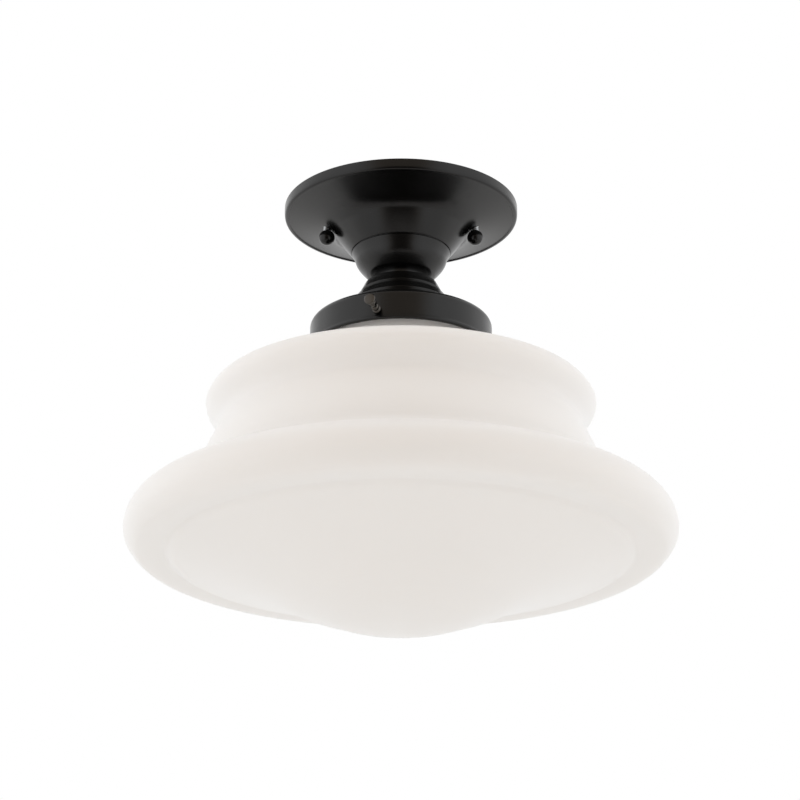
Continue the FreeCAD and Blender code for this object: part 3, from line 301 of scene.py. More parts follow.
# Glazed electrical porcelain: a warm white body under a wet-looking glaze with dimples.
PORCELAIN = grained("glazed_porcelain", "#eeebe2", "#e7e3d8", 0.12, 0.04, 2.5, 0.03,
                    Subsurface_Weight=0.15, Subsurface_Radius=(1.0, 1.0, 1.0), Subsurface_Scale=1.5 * MM)
# Rolled brass sheet: yellow metal with a light drawing haze.
ROLLED_BRASS = grained("rolled_brass", "#c9a557", "#b58f43", 0.28, 0.07, 0.6, 0.005, Metallic=1.0)
# Black vitrite, the fused glass between a lamp's cap and its contact: dark and glassy.
VITRITE = grained("black_vitrite", "#0d0d10", "#15151a", 0.14, 0.05, 1.0, 0.02)
# Thin rolled aluminium of the lamp's cap: a pale, slightly milky metal.
CAP_ALUMINIUM = grained("rolled_aluminium", "#d2d3d4", "#c2c3c5", 0.32, 0.06, 0.5, 0.005, Metallic=1.0)
# Acid frosted lamp glass: white, soft and without a sharp highlight.
FROSTED_GLASS = grained("frosted_lamp_glass", "#f3f2ee", "#ecebe6", 0.55, 0.05, 0.3, 0.004,
                        Subsurface_Weight=0.4, Subsurface_Radius=(1.0, 1.0, 1.0), Subsurface_Scale=3.0 * MM)
# Natural nylon of the screw tips: milky, waxy, cut on a lathe.
NYLON = grained("natural_nylon", "#e4e2d8", "#dad7cb", 0.48, 0.05, 0.4, 0.003,
                Subsurface_Weight=0.3, Subsurface_Radius=(1.0, 1.0, 1.0), Subsurface_Scale=1.0 * MM)
# Dark bronze plate under clear lacquer, on turned brass: brown grey with a warm glint.
DARK_BRONZE = grained("dark_bronze_plate", "#5a5753", "#474441", 0.22, 0.05, 0.6, 0.004, Metallic=1.0)


# ---------------------------------------------------------------- geometry trees
TINY = 1e-6
SPINDLE = 20.0 * MM


def new_tree(name, sizes):
    """A geometry tree with its named sizes and a material as inputs, and its input node."""
    tree = bpy.data.node_groups.new(name, "GeometryNodeTree")
    tree.interface.new_socket("Geometry", in_out="INPUT", socket_type="NodeSocketGeometry")
    for label, value in sizes.items():
        kind = "NodeSocketInt" if isinstance(value, int) else "NodeSocketFloat"
        tree.interface.new_socket(label, in_out="INPUT", socket_type=kind).default_value = value
    tree.interface.new_socket("Material", in_out="INPUT", socket_type="NodeSocketMaterial")
    tree.interface.new_socket("Geometry", in_out="OUTPUT", socket_type="NodeSocketGeometry")
    return tree, add(tree, "NodeGroupInput").outputs


def end_tree(tree, geometry, material):
    """Merge the seam and the poles, shade smooth, and make one real mesh of it."""
    merged = add(tree, "GeometryNodeMergeByDistance", Geometry=geometry, Distance=TINY)
    smooth = add(tree, "GeometryNodeSetShadeSmooth", Geometry=merged.outputs[0])
    real = add(tree, "GeometryNodeRealizeInstances", Geometry=smooth.outputs[0])
    dressed = add(tree, "GeometryNodeSetMaterial", Geometry=real.outputs[0], Material=material)
    output = add(tree, "NodeGroupOutput")
    tree.links.new(dressed.outputs[0], output.inputs[0])


def turning_tree():
    """Carries an outline once round the Z axis. The outline is a chain of edges that holds
    its distance from the spindle circle in X and its depth in Y."""
    tree, given = new_tree("turning", {"Segments": 64})
    path = add(tree, "GeometryNodeCurvePrimitiveCircle", Resolution=given["Segments"], Radius=SPINDLE)
    outline = add(tree, "GeometryNodeMeshToCurve", Mesh=given["Geometry"])
    swept = add(tree, "GeometryNodeCurveToMesh", Curve=path.outputs[0], Profile_Curve=outline.outputs[0])
    end_tree(tree, swept.outputs[0], given["Material"])
    return tree


def thread_tree():
    """A right-hand thread down the Z axis, from Top, as one closed tube or rod.

    A grid is wrapped round the axis. Its rows run down the outside, in along the end, up
    the inside, and meet the first row again. The outside follows the helix, and so does
    the inside, by Inner Crest."""
    tree, given = new_tree("thread", {
        "Segments": 32, "Steps": 100, "Top": 0.0, "Length": 0.01, "Pitch": 0.001, "Root": 0.002,
        "Crest": 0.0003, "Inner Radius": 0.0, "Inner Crest": 0.0, "Run Out": 0.0006})

    columns = add(tree, "ShaderNodeMath", {"operation": "ADD"}, i0=given["Segments"], i1=1.0)
    half_rows = add(tree, "ShaderNodeMath", {"operation": "ADD"}, i0=given["Steps"], i1=1.0)
    loop = add(tree, "ShaderNodeMath", {"operation": "MULTIPLY"}, i0=half_rows.outputs[0], i1=2.0)
    rows = add(tree, "ShaderNodeMath", {"operation": "ADD"}, i0=loop.outputs[0], i1=1.0)
    grid = add(tree, "GeometryNodeMeshGrid", Size_X=1.0, Size_Y=1.0,
               Vertices_X=columns.outputs[0], Vertices_Y=rows.outputs[0])
    spot = add(tree, "ShaderNodeSeparateXYZ", Vector=add(tree, "GeometryNodeInputPosition").outputs[0])
    turn = add(tree, "ShaderNodeMath", {"operation": "ADD"}, i0=spot.outputs["X"], i1=0.5)
    share = add(tree, "ShaderNodeMath", {"operation": "ADD"}, i0=spot.outputs["Y"], i1=0.5)
    counted = add(tree, "ShaderNodeMath", {"operation": "MULTIPLY"}, i0=share.outputs[0], i1=loop.outputs[0])
    whole = add(tree, "ShaderNodeMath", {"operation": "ROUND"}, i0=counted.outputs[0])
    row = add(tree, "ShaderNodeMath", {"operation": "MODULO"}, i0=whole.outputs[0], i1=loop.outputs[0])
    last_outside = add(tree, "ShaderNodeMath", {"operation": "ADD"}, i0=given["Steps"], i1=0.5)
    inside = add(tree, "ShaderNodeMath", {"operation": "GREATER_THAN"},
                 i0=row.outputs[0], i1=last_outside.outputs[0])
    last_row = add(tree, "ShaderNodeMath", {"operation": "SUBTRACT"}, i0=loop.outputs[0], i1=1.0)
    back = add(tree, "ShaderNodeMath", {"operation": "SUBTRACT"}, i0=last_row.outputs[0], i1=row.outputs[0])
    step = add(tree, "ShaderNodeMix", {"data_type": "FLOAT"},
               i0=inside.outputs[0], i2=row.outputs[0], i3=back.outputs[0])
    part = add(tree, "ShaderNodeMath", {"operation": "DIVIDE"}, i0=step.outputs[0], i1=given["Steps"])
    down = add(tree, "ShaderNodeMath", {"operation": "MULTIPLY"}, i0=part.outputs[0], i1=given["Length"])
    height = add(tree, "ShaderNodeMath", {"operation": "SUBTRACT"}, i0=given["Top"], i1=down.outputs[0])
    risen = add(tree, "ShaderNodeMath", {"operation": "DIVIDE"}, i0=height.outputs[0], i1=given["Pitch"])
    phase = add(tree, "ShaderNodeMath", {"operation": "SUBTRACT"}, i0=risen.outputs[0], i1=turn.outputs[0])
    phase_angle = add(tree, "ShaderNodeMath", {"operation": "MULTIPLY"}, i0=phase.outputs[0], i1=2 * math.pi)
    wave = add(tree, "ShaderNodeMath", {"operation": "COSINE"}, i0=phase_angle.outputs[0])
    ridge = add(tree, "ShaderNodeMath", {"operation": "MULTIPLY_ADD"}, i0=wave.outputs[0], i1=0.5, i2=0.5)
    up = add(tree, "ShaderNodeMath", {"operation": "SUBTRACT"}, i0=given["Length"], i1=down.outputs[0])
    near_end = add(tree, "ShaderNodeMath", {"operation": "MINIMUM"}, i0=down.outputs[0], i1=up.outputs[0])
    run_out = add(tree, "ShaderNodeMath", {"operation": "DIVIDE"},
                  i0=near_end.outputs[0], i1=given["Run Out"])
    fade = add(tree, "ShaderNodeMath", {"operation": "MINIMUM"}, i0=run_out.outputs[0], i1=1.0)
    faded = add(tree, "ShaderNodeMath", {"operation": "MULTIPLY"}, i0=ridge.outputs[0], i1=fade.outputs[0])
    outer_ridge = add(tree, "ShaderNodeMath", {"operation": "MULTIPLY"},
                      i0=faded.outputs[0], i1=given["Crest"])
    outer = add(tree, "ShaderNodeMath", {"operation": "ADD"}, i0=given["Root"], i1=outer_ridge.outputs[0])
    inner_ridge = add(tree, "ShaderNodeMath", {"operation": "MULTIPLY"},
                      i0=faded.outputs[0], i1=given["Inner Crest"])
    inner = add(tree, "ShaderNodeMath", {"operation": "ADD"},
                i0=given["Inner Radius"], i1=inner_ridge.outputs[0])
    radius = add(tree, "ShaderNodeMix", {"data_type": "FLOAT"},
                 i0=inside.outputs[0], i2=outer.outputs[0], i3=inner.outputs[0])
    angle = add(tree, "ShaderNodeMath", {"operation": "MULTIPLY"}, i0=turn.outputs[0], i1=2 * math.pi)
    cosine = add(tree, "ShaderNodeMath", {"operation": "COSINE"}, i0=angle.outputs[0])
    sine = add(tree, "ShaderNodeMath", {"operation": "SINE"}, i0=angle.outputs[0])
    x = add(tree, "ShaderNodeMath", {"operation": "MULTIPLY"}, i0=radius.outputs[0], i1=cosine.outputs[0])
    y = add(tree, "ShaderNodeMath", {"operation": "MULTIPLY"}, i0=radius.outputs[0], i1=sine.outputs[0])
    place = add(tree, "ShaderNodeCombineXYZ", X=x.outputs[0], Y=y.outputs[0], Z=height.outputs[0])
    wrapped = add(tree, "GeometryNodeSetPosition", Geometry=grid.outputs[0], Position=place.outputs[0])
    end_tree(tree, wrapped.outputs[0], given["Material"])
    return tree


def ribs_tree():
    """Equal ribs round the Z axis, each a small eight-sided bar that leans by Lean."""
    tree, given = new_tree("ribs", {
        "Count": 12, "Radius": 0.004, "Height": 0.0, "Length": 0.003, "Rib Radius": 0.0003,
        "Flatness": 1.0, "Lean": 0.0, "Twist": 0.0})
    ring = add(tree, "GeometryNodeMeshCircle", {"fill_type": "NONE"},
               Vertices=given["Count"], Radius=given["Radius"])
    bar = add(tree, "GeometryNodeMeshCylinder", Vertices=8, Radius=given["Rib Radius"], Depth=given["Length"])
    numbered = add(tree, "GeometryNodeInputIndex")
    share = add(tree, "ShaderNodeMath", {"operation": "DIVIDE"}, i0=numbered.outputs[0], i1=given["Count"])
    round_angle = add(tree, "ShaderNodeMath", {"operation": "MULTIPLY"}, i0=share.outputs[0], i1=2 * math.pi)
    turn = add(tree, "ShaderNodeCombineXYZ", X=given["Twist"], Y=given["Lean"], Z=round_angle.outputs[0])
    flat = add(tree, "ShaderNodeCombineXYZ", X=1.0, Y=given["Flatness"], Z=1.0)
    bars = add(tree, "GeometryNodeInstanceOnPoints", Points=ring.outputs[0], Instance=bar.outputs[0],
               Rotation=turn.outputs[0], Scale=flat.outputs[0])
    up = add(tree, "ShaderNodeCombineXYZ", Z=given["Height"])
    lifted = add(tree, "GeometryNodeTransform", Geometry=bars.outputs[0], Translation=up.outputs[0])
    real = add(tree, "GeometryNodeRealizeInstances", Geometry=lifted.outputs[0])
    end_tree(tree, real.outputs[0], given["Material"])
    return tree


TURNING = turning_tree()
THREAD = thread_tree()
RIBS = ribs_tree()


# ---------------------------------------------------------------- mesh helpers
CREASE = math.radians(32)


def held(mesh):
    """A working object for a mesh, removed again once its result is read."""
    obj = bpy.data.objects.new("work", mesh)
    bpy.context.scene.collection.objects.link(obj)
    return obj


def result_of(obj):
    mesh = bpy.data.meshes.new_from_object(obj.evaluated_get(bpy.context.evaluated_depsgraph_get()))
    bpy.data.objects.remove(obj)
    return mesh


def outwards(mesh):
    """Turn a closed mesh so that its faces point out."""
    shell = bmesh.new()
    shell.from_mesh(mesh)
    loose = [edge for edge in shell.edges if not edge.link_faces]
    bmesh.ops.delete(shell, geom=loose, context="EDGES")
    if shell.calc_volume(signed=True) < 0:
        bmesh.ops.reverse_faces(shell, faces=shell.faces)
    shell.to_mesh(mesh)
    shell.free()
    return mesh


def grow(tree, material, seed=None, **sizes):
    """The plain mesh that a geometry tree makes with these sizes."""
    obj = held(seed or bpy.data.meshes.new("seed"))
    modifier = obj.modifiers.new("grow", "NODES")
    modifier.node_group = tree
    given = dict({name.replace("_", " "): value for name, value in sizes.items()}, Material=material)
    for item in tree.interface.items_tree:
        if item.in_out == "INPUT" and item.name in given:
            modifier[item.identifier] = given[item.name]
    return outwards(result_of(obj))


def turned(outline, material, segments=64):
    """A full turn of a closed outline of (radius, depth) points.

    An outline whose two ends lie on the axis stays open there, and its poles close."""
    points = [(radius * MM - SPINDLE, depth * MM, 0.0) for radius, depth in outline]
    edges = [(i, i + 1) for i in range(len(points) - 1)]
    if outline[0][0] > 0 or outline[-1][0] > 0:
        edges.append((len(points) - 1, 0))
    seed = bpy.data.meshes.new("outline")
    seed.from_pydata(points, edges, [])
    return grow(TURNING, material, seed, Segments=segments)


def flowing(poles, steps=7):
    """Points along a quadratic B-spline on (radius, depth) poles."""
    points = []
    last = len(poles) - 2
    for i in range(1, last + 1):
        here = Vector(poles[i])
        start = Vector(poles[0]) if i == 1 else (Vector(poles[i - 1]) + here) / 2
        end = Vector(poles[-1]) if i == last else (here + Vector(poles[i + 1])) / 2
        for step in range(steps):
            t = step / steps
            points.append(tuple(start * (1 - t) ** 2 + here * 2 * t * (1 - t) + end * t * t))
    points.append(tuple(poles[-1]))
    return points


def inside(poles, wall):
    """Poles of the wall's other side: each pole moves along its mitred normal."""
    moved = []
    for i, pole in enumerate(poles):
        here = Vector(pole)
        arriving = (here - Vector(poles[i - 1])).normalized() if i > 0 else None
        leaving = (Vector(poles[i + 1]) - here).normalized() if i < len(poles) - 1 else arriving
        both = (arriving or leaving) + leaving
        mitre = 1 + (arriving or leaving).dot(leaving)
        moved.append((here.x - both.y / mitre * wall, here.y + both.x / mitre * wall))
    return moved


def eased(corners, steps=6):
    """Points of an outline of (radius, depth, fillet) corners."""
    points = []
    for i, (radius, depth, fillet) in enumerate(corners):
        here = Vector((radius, depth))
        if fillet <= 0:
            points.append((radius, depth))
            continue
        back = (Vector(corners[i - 1][:2]) - here).normalized()
        ahead = (Vector(corners[(i + 1) % len(corners)][:2]) - here).normalized()
        half = back.angle(ahead) / 2
        centre = here + (back + ahead).normalized() * (fillet / math.sin(half))
        first = here + back * (fillet / math.tan(half)) - centre
        sweep = math.pi - 2 * half
        if first.x * ahead.y - first.y * ahead.x < 0:
            sweep = -sweep
        for step in range(steps + 1):
            angle = sweep * step / steps
            cos, sin = math.cos(angle), math.sin(angle)
            points.append((centre.x + first.x * cos - first.y * sin,
                           centre.y + first.x * sin + first.y * cos))
    return points


def carved(mesh, cutter, operation="DIFFERENCE"):
    """A mesh with another cut from it, or its common part with another."""
    body = held(mesh)
    tool = held(cutter)
    modifier = body.modifiers.new("carve", "BOOLEAN")
    modifier.operation = operation
    modifier.solver = "EXACT"
    modifier.object = tool
    mesh = result_of(body)
    bpy.data.objects.remove(tool)
    return mesh


def placed(mesh, x):
    mesh.transform(Matrix.Translation((x, 0.0, 0.0)))
    return mesh


def softened(node, material, width=0.25):
    """A pressed or cut piece with its sharp corners eased by width millimetres."""
    blank = bmesh.new()
    blank.from_mesh(NODES[node].data)
    bmesh.ops.remove_doubles(blank, verts=blank.verts, dist=TINY)
    bmesh.ops.dissolve_limit(blank, angle_limit=math.radians(1), verts=blank.verts, edges=blank.edges)
    mesh = bpy.data.meshes.new("blank")
    blank.to_mesh(mesh)
    blank.free()
    mesh.materials.append(material)
    obj = held(mesh)
    bevel = obj.modifiers.new("ease", "BEVEL")
    bevel.width = width * MM
    bevel.segments = 2
    bevel.limit_method = "ANGLE"
    bevel.angle_limit = math.radians(40)
    return result_of(obj)


def piece(name, node, *meshes):
    """One finished piece, in place of a CAD node: it takes the node's body."""
    materials = []
    whole = bmesh.new()
    for mesh in meshes:
        first = len(whole.faces)
        whole.from_mesh(mesh)
        whole.faces.ensure_lookup_table()
        for face in whole.faces[first:]:
            material = mesh.materials[face.material_index]
            if material not in materials:
                materials.append(material)
            face.material_index = materials.index(material)
            face.smooth = True
    data = bpy.data.meshes.new(name)
    whole.to_mesh(data)
    whole.free()
    for material in materials:
        data.materials.append(material)
    data.set_sharp_from_angle(angle=CREASE)
    obj = bpy.data.objects.new(name, data)
    bpy.context.scene.collection.objects.link(obj)
    bodies = RECORD["behaviour"]["bodies"]
    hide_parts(node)
    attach(obj, next(body for body, nodes in bodies.items() if node in nodes))


# ---------------------------------------------------------------- canopy, neck and fitter
SMOOTH_TURN = 200
STUD_X = 44.45
KNOB_HOLE = 2.48
SEAM = (29.6, 28.4)
DISH_FLARE = [(67.2, 6.05), (57.85, 7.7), (42.0, 12.5), (36.0, 20.6), SEAM]
DISH_WALL = 1.0
# The two edges at the seam are rounded in, which leaves a fine dark groove between them.
DISH_LIP = [(29.86, 28.09), (29.66, 28.24), (29.30, 28.22)]
CUP_LIP = [(28.90, 28.50), (29.14, 28.62), (29.32, 28.92)]
CUP_OUTER = [(29.6, 28.5), (27.8, 31.7), (26.4, 36.5), (21.6, 42.0), (19.3, 44.2), (15.6, 44.2)]
CUP_BOTTOM = 44.2
CUP_WALL = 1.2
# The cup's edge lies inside the dish's mouth as a flange, from this depth upwards.
CUP_FLANGE = [(27.7, 27.6), (28.46, 26.6), (30.69, 23.69), (31.36, 24.2), (29.13, 27.12), (28.55, 28.1)]
CUP_FLANGE_FOOT = 29.2
NIPPLE_HOLE = 5.35
FITTER_SEAT = 71.5
FITTER_CEILING = 72.7


def canopy_dish():
    """Spun steel, with a bead round the rim and one hole for each stud."""
    inner = inside(DISH_FLARE, DISH_WALL)
    band = flowing([(69.85, 0.0), (69.95, 3.25), (69.55, 6.5), (67.65, 6.5)])
    outline = band + flowing(DISH_FLARE, 14)[:-1] + DISH_LIP + list(reversed(flowing(inner, 14)))
    outline += [(68.85, inner[0][1]), (68.85, 0.0)]
    dish = turned(outline, BLACK_ENAMEL, SMOOTH_TURN)
    for side in (-1, 1):
        drill = turned([(0, 0), (KNOB_HOLE, 0), (KNOB_HOLE, 30), (0, 30)], BLACK_ENAMEL, 48)
        dish = carved(dish, placed(drill, side * STUD_X * MM))
    piece("spun_canopy_dish", "canopy_dish", dish)


def canopy_cup():
    """The bowl under the dish, with a flange that reaches up into the dish's mouth."""
    wall = reversed(flowing(inside(CUP_OUTER, CUP_WALL), 10))
    inner = [point for point in wall if point[1] > CUP_FLANGE_FOOT]
    hole = [(NIPPLE_HOLE, CUP_BOTTOM), (NIPPLE_HOLE, CUP_BOTTOM - CUP_WALL)]
    outline = CUP_LIP + flowing(CUP_OUTER, 10)[2:] + hole + inner + CUP_FLANGE
    piece("spun_canopy_cup", "canopy_cup", turned(outline, BLACK_ENAMEL, SMOOTH_TURN))


def neck():
    """One turned piece: a stem, a collar, a skirt and a foot. A groove runs under the
    collar and under the skirt."""
    corners = [
        (NIPPLE_HOLE, CUP_BOTTOM, 0), (15.6, CUP_BOTTOM, 0), (15.6, 48.6, 1.2), (21.2, 49.0, 1.2),
        (24.4, 55.2, 0.5), (23.8, 56.1, 0.2), (24.7, 56.7, 0.2), (26.4, 57.8, 1.2), (29.0, 62.2, 0.5),
        (28.4, 63.4, 0.2), (31.0, 65.6, 1.2), (31.0, FITTER_SEAT, 0), (NIPPLE_HOLE, FITTER_SEAT, 0),
    ]
    piece("turned_neck", "neck_collar", turned(eased(corners), BLACK_ENAMEL, SMOOTH_TURN))


SCREW_RADIUS = 2.08
SCREW_PITCH = 0.79375
SCREW_CREST = 0.3
SCREW_HOLE = 2.13
THUMBSCREW_AZIMUTHS = (255.5, 15.5, 135.5)
THUMBSCREW_DEPTH = 87.5


def across(mesh, azimuth):
    """Lay a piece built up the Z axis so that it points out from the axis at a screw's place."""
    lean = Matrix.Rotation(math.radians(90), 4, "Y")
    swing = Matrix.Rotation(math.radians(azimuth), 4, "Z")
    mesh.transform(Matrix.Translation((0.0, 0.0, -THUMBSCREW_DEPTH * MM)) @ swing @ lean)
    return mesh


def shade_fitter():
    """A pressed ring with a rolled hem and three screw holes."""
    corners = [
        (NIPPLE_HOLE, FITTER_SEAT, 0), (34.0, FITTER_SEAT, 8.0), (47.5, 73.7, 6.0), (53.7, 74.1, 4.2),
        (53.7, 90.4, 0.2), (54.1, 91.0, 0.5), (54.1, 92.1, 0.5), (53.4, 93.0, 0.2), (52.5, 93.0, 0.2),
        (52.5, 75.3, 3.0), (47.5, 74.9, 6.0), (34.0, FITTER_CEILING, 8.0), (NIPPLE_HOLE, FITTER_CEILING, 0),
    ]
    fitter = turned(eased(corners, 8), BLACK_ENAMEL, SMOOTH_TURN)
    for azimuth in THUMBSCREW_AZIMUTHS:
        drill = turned([(0, -50), (SCREW_HOLE, -50), (SCREW_HOLE, -56), (0, -56)], BLACK_ENAMEL, 32)
        fitter = carved(fitter, across(drill, azimuth))
    piece("pressed_shade_fitter", "shade_fitter", fitter)


# ---------------------------------------------------------------- shade
SHADE_TOP = 78.6
SHADE_NECK = 46.6
LIP = [(SHADE_NECK, SHADE_TOP), (49.8, SHADE_TOP), (49.8, 84.8), (SHADE_NECK, 85.1), (SHADE_NECK, 86.3)]
SHADE_BODY = [
    (SHADE_NECK, 99.1), (59.3, 106.4), (108.4, 119.7), (112.1, 122.9), (114.9, 129.3), (105.4, 141.0),
    (107.4, 147.1), (116.3, 164.4), (115.3, 180.5), (152.4, 189.2), (160.6, 205.5), (153.5, 216.9),
    (146.5, 218.4), (138.0, 218.3), (134.0, 218.0), (130.0, 221.0), (122.0, 222.6), (84.2, 236.2),
    (61.0, 247.5), (56.9, 248.8), (27.3, 260.0), (0.0, 260.0),
]
GLASS_WALL = 3.0


def shade():
    """One blown piece of glass, 3 mm thick, open only at its neck."""
    inner = [(SHADE_NECK - GLASS_WALL, SHADE_TOP)] + inside([LIP[-1]] + SHADE_BODY, GLASS_WALL)[1:]
    outer_points = flowing(LIP + SHADE_BODY, 8)
    inner_points = list(reversed(flowing(inner, 8)))
    mesh = turned(outer_points + inner_points, OPAL_GLASS, SMOOTH_TURN)
    piece("blown_opal_shade", "shade_glass", mesh)


# ---------------------------------------------------------------- screws, nuts and knobs
NIPPLE_RADIUS = 5.15
NIPPLE_THREAD_HOLE = 5.2
STRAP_THICKNESS = 2.0
LOCK_NUT_HEIGHT = 3.2
LOCK_NUT_FLATS = 8.7
NIPPLE_NUT_FLATS = 14.3
NUT_FACE_SHARE = 0.96
MOUTH_CHAMFER = 0.35
STUD_LENGTH = 19.46


def threaded_rod(top, bottom, radius, pitch, crest, material, segments=32, bore=0.0):
    """A threaded rod or tube between two depths."""
    length = bottom - top
    return grow(THREAD, material, Segments=segments, Steps=int(length / pitch * 8), Top=-top * MM,
                Length=length * MM, Pitch=pitch * MM, Root=(radius - crest) * MM, Crest=crest * MM,
                Inner_Radius=bore * MM, Run_Out=0.6 * MM)


def studs():
    rods = []
    for side in (-1, 1):
        rod = threaded_rod(0.0, STUD_LENGTH, SCREW_RADIUS, SCREW_PITCH, SCREW_CREST, ZINC_TURNED)
        rods.append(placed(rod, side * STUD_X * MM))
    piece("threaded_studs", "canopy_studs", *rods)


def hex_blank(flats, hole, top, bottom, material):
    """A hexagon nut, chamfered by a cone at both faces."""
    corner = flats / math.sqrt(3)
    face = flats / 2 * NUT_FACE_SHARE
    fall = (corner - face) * math.tan(math.radians(30))
    cone = turned([(0, top), (face, top), (corner + 0.1, top + fall), (corner + 0.1, bottom - fall),
                   (face, bottom), (0, bottom)], material, 96)
    prism = turned([(0, top - 1), (corner, top - 1), (corner, bottom + 1), (0, bottom + 1)], material, 6)
    nut = carved(prism, cone, "INTERSECT")
    mouth = hole + MOUTH_CHAMFER
    drill = turned([(0, top - 1), (mouth + 1, top - 1), (hole, top + MOUTH_CHAMFER),
                    (hole, bottom - MOUTH_CHAMFER),
                    (mouth + 1, bottom + 1), (0, bottom + 1)], material, 48)
    return carved(nut, drill)


def nuts():
    lock_nuts = []
    for side in (-1, 1):
        nut = hex_blank(LOCK_NUT_FLATS, SCREW_HOLE, STRAP_THICKNESS, STRAP_THICKNESS + LOCK_NUT_HEIGHT,
                        ZINC_TURNED)
        lock_nuts.append(placed(nut, side * STUD_X * MM))
    piece("chamfered_lock_nuts", "stud_lock_nuts", *lock_nuts)
    for node in ("upper_nipple_nut", "lower_nipple_nut"):
        low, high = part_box(node)
        nut = hex_blank(NIPPLE_NUT_FLATS, NIPPLE_THREAD_HOLE, -high.z / MM, -low.z / MM, ZINC_TURNED)
        piece("chamfered_" + node, node, nut)


def lock_washers():
    """A ring with twelve teeth, each twisted a little out of the ring's plane."""
    bore = NIPPLE_THREAD_HOLE
    rim = 6.8
    half = 0.3
    for node in ("upper_lock_washer", "lower_lock_washer"):
        low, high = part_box(node)
        middle = (low.z + high.z) / 2
        depth = -middle / MM
        band = turned([(bore, depth - half), (rim, depth - half), (rim, depth + half), (bore, depth + half)],
                      ZINC_TURNED, 96)
        teeth = grow(RIBS, ZINC_TURNED, Count=12, Radius=7.2 * MM, Height=middle, Length=0.6 * MM,
                     Rib_Radius=0.8 * MM, Flatness=1.3, Twist=math.radians(14))
        piece("toothed_" + node, node, band, teeth)


def nipple():
    low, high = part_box("centre_nipple")
    pitch = 0.94
    crest = 0.45
    tube = threaded_rod(-high.z / MM, -low.z / MM, NIPPLE_RADIUS, pitch, crest, ZINC_TURNED, 48, bore=3.4)
    piece("threaded_nipple", "centre_nipple", tube)


KNOB_RADIUS = 4.76
KNOB_HOLE_END = 19.76
WASHER_RADIUS = 3.2
WASHER_TOP = 14.56
WASHER_BOTTOM = 15.16


def knobs():
    """Ball knobs in the canopy's own black, each on a small washer."""
    for number, side in ((1, -1), (2, 1)):
        low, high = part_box("ball_knob_%d" % number)
        top = -high.z / MM
        radius = KNOB_RADIUS
        centre = -low.z / MM - radius
        start = math.acos((centre - top) / radius)
        steps = 28
        ball = []
        for step in range(steps + 1):
            angle = start + (math.pi - start) * step / steps
            ball.append((radius * math.sin(angle), centre - radius * math.cos(angle)))
        hole = [(0, KNOB_HOLE_END), (SCREW_HOLE, KNOB_HOLE_END), (SCREW_HOLE, top + 0.3), (2.4, top)]
        knob = placed(turned(ball[::-1] + hole[::-1], BLACK_ENAMEL, 72), side * STUD_X * MM)
        piece("turned_ball_knob_%d" % number, "ball_knob_%d" % number, knob)
        washer = eased([(SCREW_HOLE, WASHER_TOP, 0), (WASHER_RADIUS, WASHER_TOP, 0.15),
                        (WASHER_RADIUS, WASHER_BOTTOM, 0.15), (SCREW_HOLE, WASHER_BOTTOM, 0)])
        flat = placed(turned(washer, BLACK_ENAMEL, 64), side * STUD_X * MM)
        piece("flat_knob_washer_%d" % number, "knob_washer_%d" % number, flat)


def thumb_screws():
    """A turned head, a waist with two beads, a collar, a threaded shank and a pin.

    The outline runs along the screw: its second value is minus the distance from the
    light's axis."""
    head = eased([
        (0.0, -68.0, 0), (1.3, -68.0, 0), (1.6, -68.9, 0.3), (2.8, -69.5, 0.3), (3.25, -69.9, 0.3),
        (3.25, -70.8, 0.3), (2.85, -71.3, 0.2), (0.0, -71.4, 0)])
    waist = eased([
        (0, -69.0, 0), (1.35, -69.0, 0), (1.35, -67.9, 0.2), (2.3, -66.6, 0.9), (2.3, -63.6, 0.9),
        (1.5, -62.4, 0.4), (1.5, -60.6, 0.3), (2.2, -59.8, 0.4), (2.2, -58.4, 0.4), (1.6, -57.6, 0.3),
        (1.6, -56.8, 0.2), (2.5, -56.1, 0.2), (2.5, -54.3, 0.2), (0, -54.3, 0)])
    pin = eased([(0, -50.2, 0), (1.2, -50.2, 0), (1.2, -47.75, 0.2), (0, -47.7, 0)])
    for number, azimuth in enumerate(THUMBSCREW_AZIMUTHS, 1):
        turnings = [turned(part, DARK_BRONZE, 64) for part in (head, waist, pin)]
        shank = threaded_rod(-54.8, -48.8, SCREW_RADIUS, SCREW_PITCH, SCREW_CREST, DARK_BRONZE)
        screw = [across(mesh, azimuth) for mesh in (*turnings, shank)]
        piece("turned_thumb_screw_%d" % number, "thumb_screw_%d" % number, *screw)


# ---------------------------------------------------------------- lamp holder, lamp and wiring
LAMP_PITCH = 3.63
THREAD_WAVE = 0.35
SHELL_RADIUS = 14.1
SHELL_WALL = 0.35
SHELL_TOP = 108.0
SHELL_BOTTOM = 132.0
SHELL_THREAD_END = 130.0
CAP_RADIUS = 12.9
CAP_WALL = 0.4
CAP_TOP = 112.3
CAP_BOTTOM = 134.3
CAP_THREAD_END = 131.0
CAP_HOLE = 4.6
CONNECTOR_X = 13.0


def rolled_sleeve(radius, wall, top, bottom, thread_bottom, material):
    """A thin sleeve with a rolled screw thread above a plain skirt."""
    root = radius - THREAD_WAVE
    thread = grow(THREAD, material, Segments=96, Steps=int((thread_bottom - top) / LAMP_PITCH * 12),
                  Top=-top * MM, Length=(thread_bottom - top) * MM, Pitch=LAMP_PITCH * MM, Root=root * MM,
                  Crest=2 * THREAD_WAVE * MM, Inner_Radius=(root - wall) * MM,
                  Inner_Crest=2 * THREAD_WAVE * MM, Run_Out=2.0 * MM)
    overlap = 0.1
    skirt = turned(eased([(root - wall, thread_bottom - overlap, 0), (root, thread_bottom - overlap, 0),
                          (radius, thread_bottom + 0.6, 0.4), (radius, bottom, 0.1),
                          (radius - wall, bottom, 0.1), (radius - wall, thread_bottom + 0.6, 0.4)]),
                   material, 96)
    return [thread, skirt]


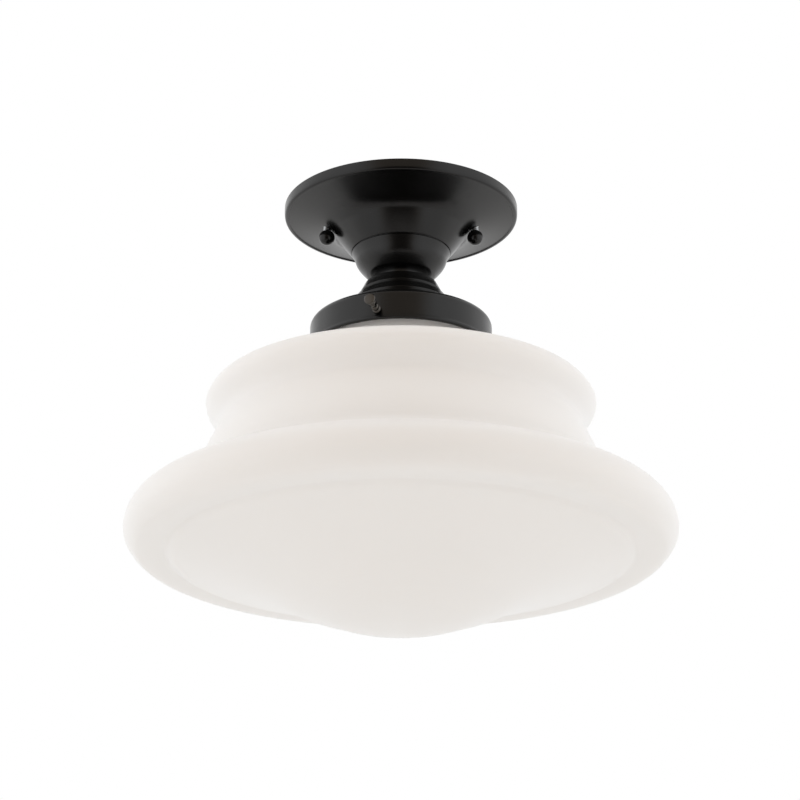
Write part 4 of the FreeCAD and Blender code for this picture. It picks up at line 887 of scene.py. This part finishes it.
def lamp_and_shell():
    """The holder's brass shell, and the lamp's cap with its lid round the insulator."""
    piece("rolled_screw_shell", "screw_shell",
          *rolled_sleeve(SHELL_RADIUS, SHELL_WALL, SHELL_TOP, SHELL_BOTTOM, SHELL_THREAD_END, ROLLED_BRASS))
    edge = CAP_RADIUS - THREAD_WAVE
    under = CAP_TOP + CAP_WALL
    lid = turned([(CAP_HOLE, CAP_TOP), (edge, CAP_TOP), (edge, under), (CAP_HOLE, under)], CAP_ALUMINIUM, 96)
    piece("rolled_lamp_cap", "bulb_cap",
          *rolled_sleeve(CAP_RADIUS, CAP_WALL, CAP_TOP, CAP_BOTTOM, CAP_THREAD_END, CAP_ALUMINIUM), lid)


def connectors():
    """Ribbed wire connectors with a flared skirt."""
    shells = []
    for side in (-1, 1):
        shell = eased([(0, 4.0, 0), (3.6, 4.0, 1.2), (4.4, 16.0, 0.5), (5.2, 17.0, 0.5), (5.2, 20.0, 0.5),
                       (1.45, 20.0, 0.2), (1.45, 14.0, 0), (0, 14.0, 0)])
        ribs = grow(RIBS, ORANGE_PLASTIC, Count=16, Radius=3.95 * MM, Height=-10.8 * MM, Length=9.6 * MM,
                    Rib_Radius=0.42 * MM, Lean=math.radians(-3.8))
        shells.append(placed(turned(shell, ORANGE_PLASTIC, 64), side * CONNECTOR_X * MM))
        shells.append(placed(ribs, side * CONNECTOR_X * MM))
    piece("ribbed_wire_connectors", "wire_connectors", *shells)


def pressed_pieces():
    piece("pressed_mounting_strap", "mounting_strap", softened("mounting_strap", ZINC_STRIP, 0.3))
    piece("folded_socket_bracket", "socket_bracket", softened("socket_bracket", ZINC_STRIP, 0.2))
    piece("crimped_ground_terminals", "ground_terminals", softened("ground_terminals", TINNED_COPPER, 0.15))
    piece("slotted_ground_screw", "ground_screw", softened("ground_screw", GREEN_ZINC, 0.12))
    piece("slotted_holder_screws", "holder_screws", softened("holder_screws", ZINC_TURNED, 0.12))


KEPT_FINISHES = {
    "socket_body": PORCELAIN, "centre_contact": ROLLED_BRASS, "bulb_contact": ROLLED_BRASS,
    "bulb_insulator": VITRITE, "bulb_envelope": FROSTED_GLASS,
    "black_lead": BLACK_PVC, "white_lead": WHITE_PVC, "ground_lead": GREEN_PVC,
    "screw_tip_1": NYLON, "screw_tip_2": NYLON, "screw_tip_3": NYLON,
}


def dress_kept_nodes():
    """The nodes whose own meshes stay get their finish."""
    for name, node in NODES.items():
        if name in KEPT_FINISHES:
            node.data.materials.clear()
            node.data.materials.append(KEPT_FINISHES[name])


canopy_dish()
canopy_cup()
neck()
shade_fitter()
shade()
studs()
nuts()
lock_washers()
nipple()
knobs()
thumb_screws()
lamp_and_shell()
connectors()
pressed_pieces()
dress_kept_nodes()
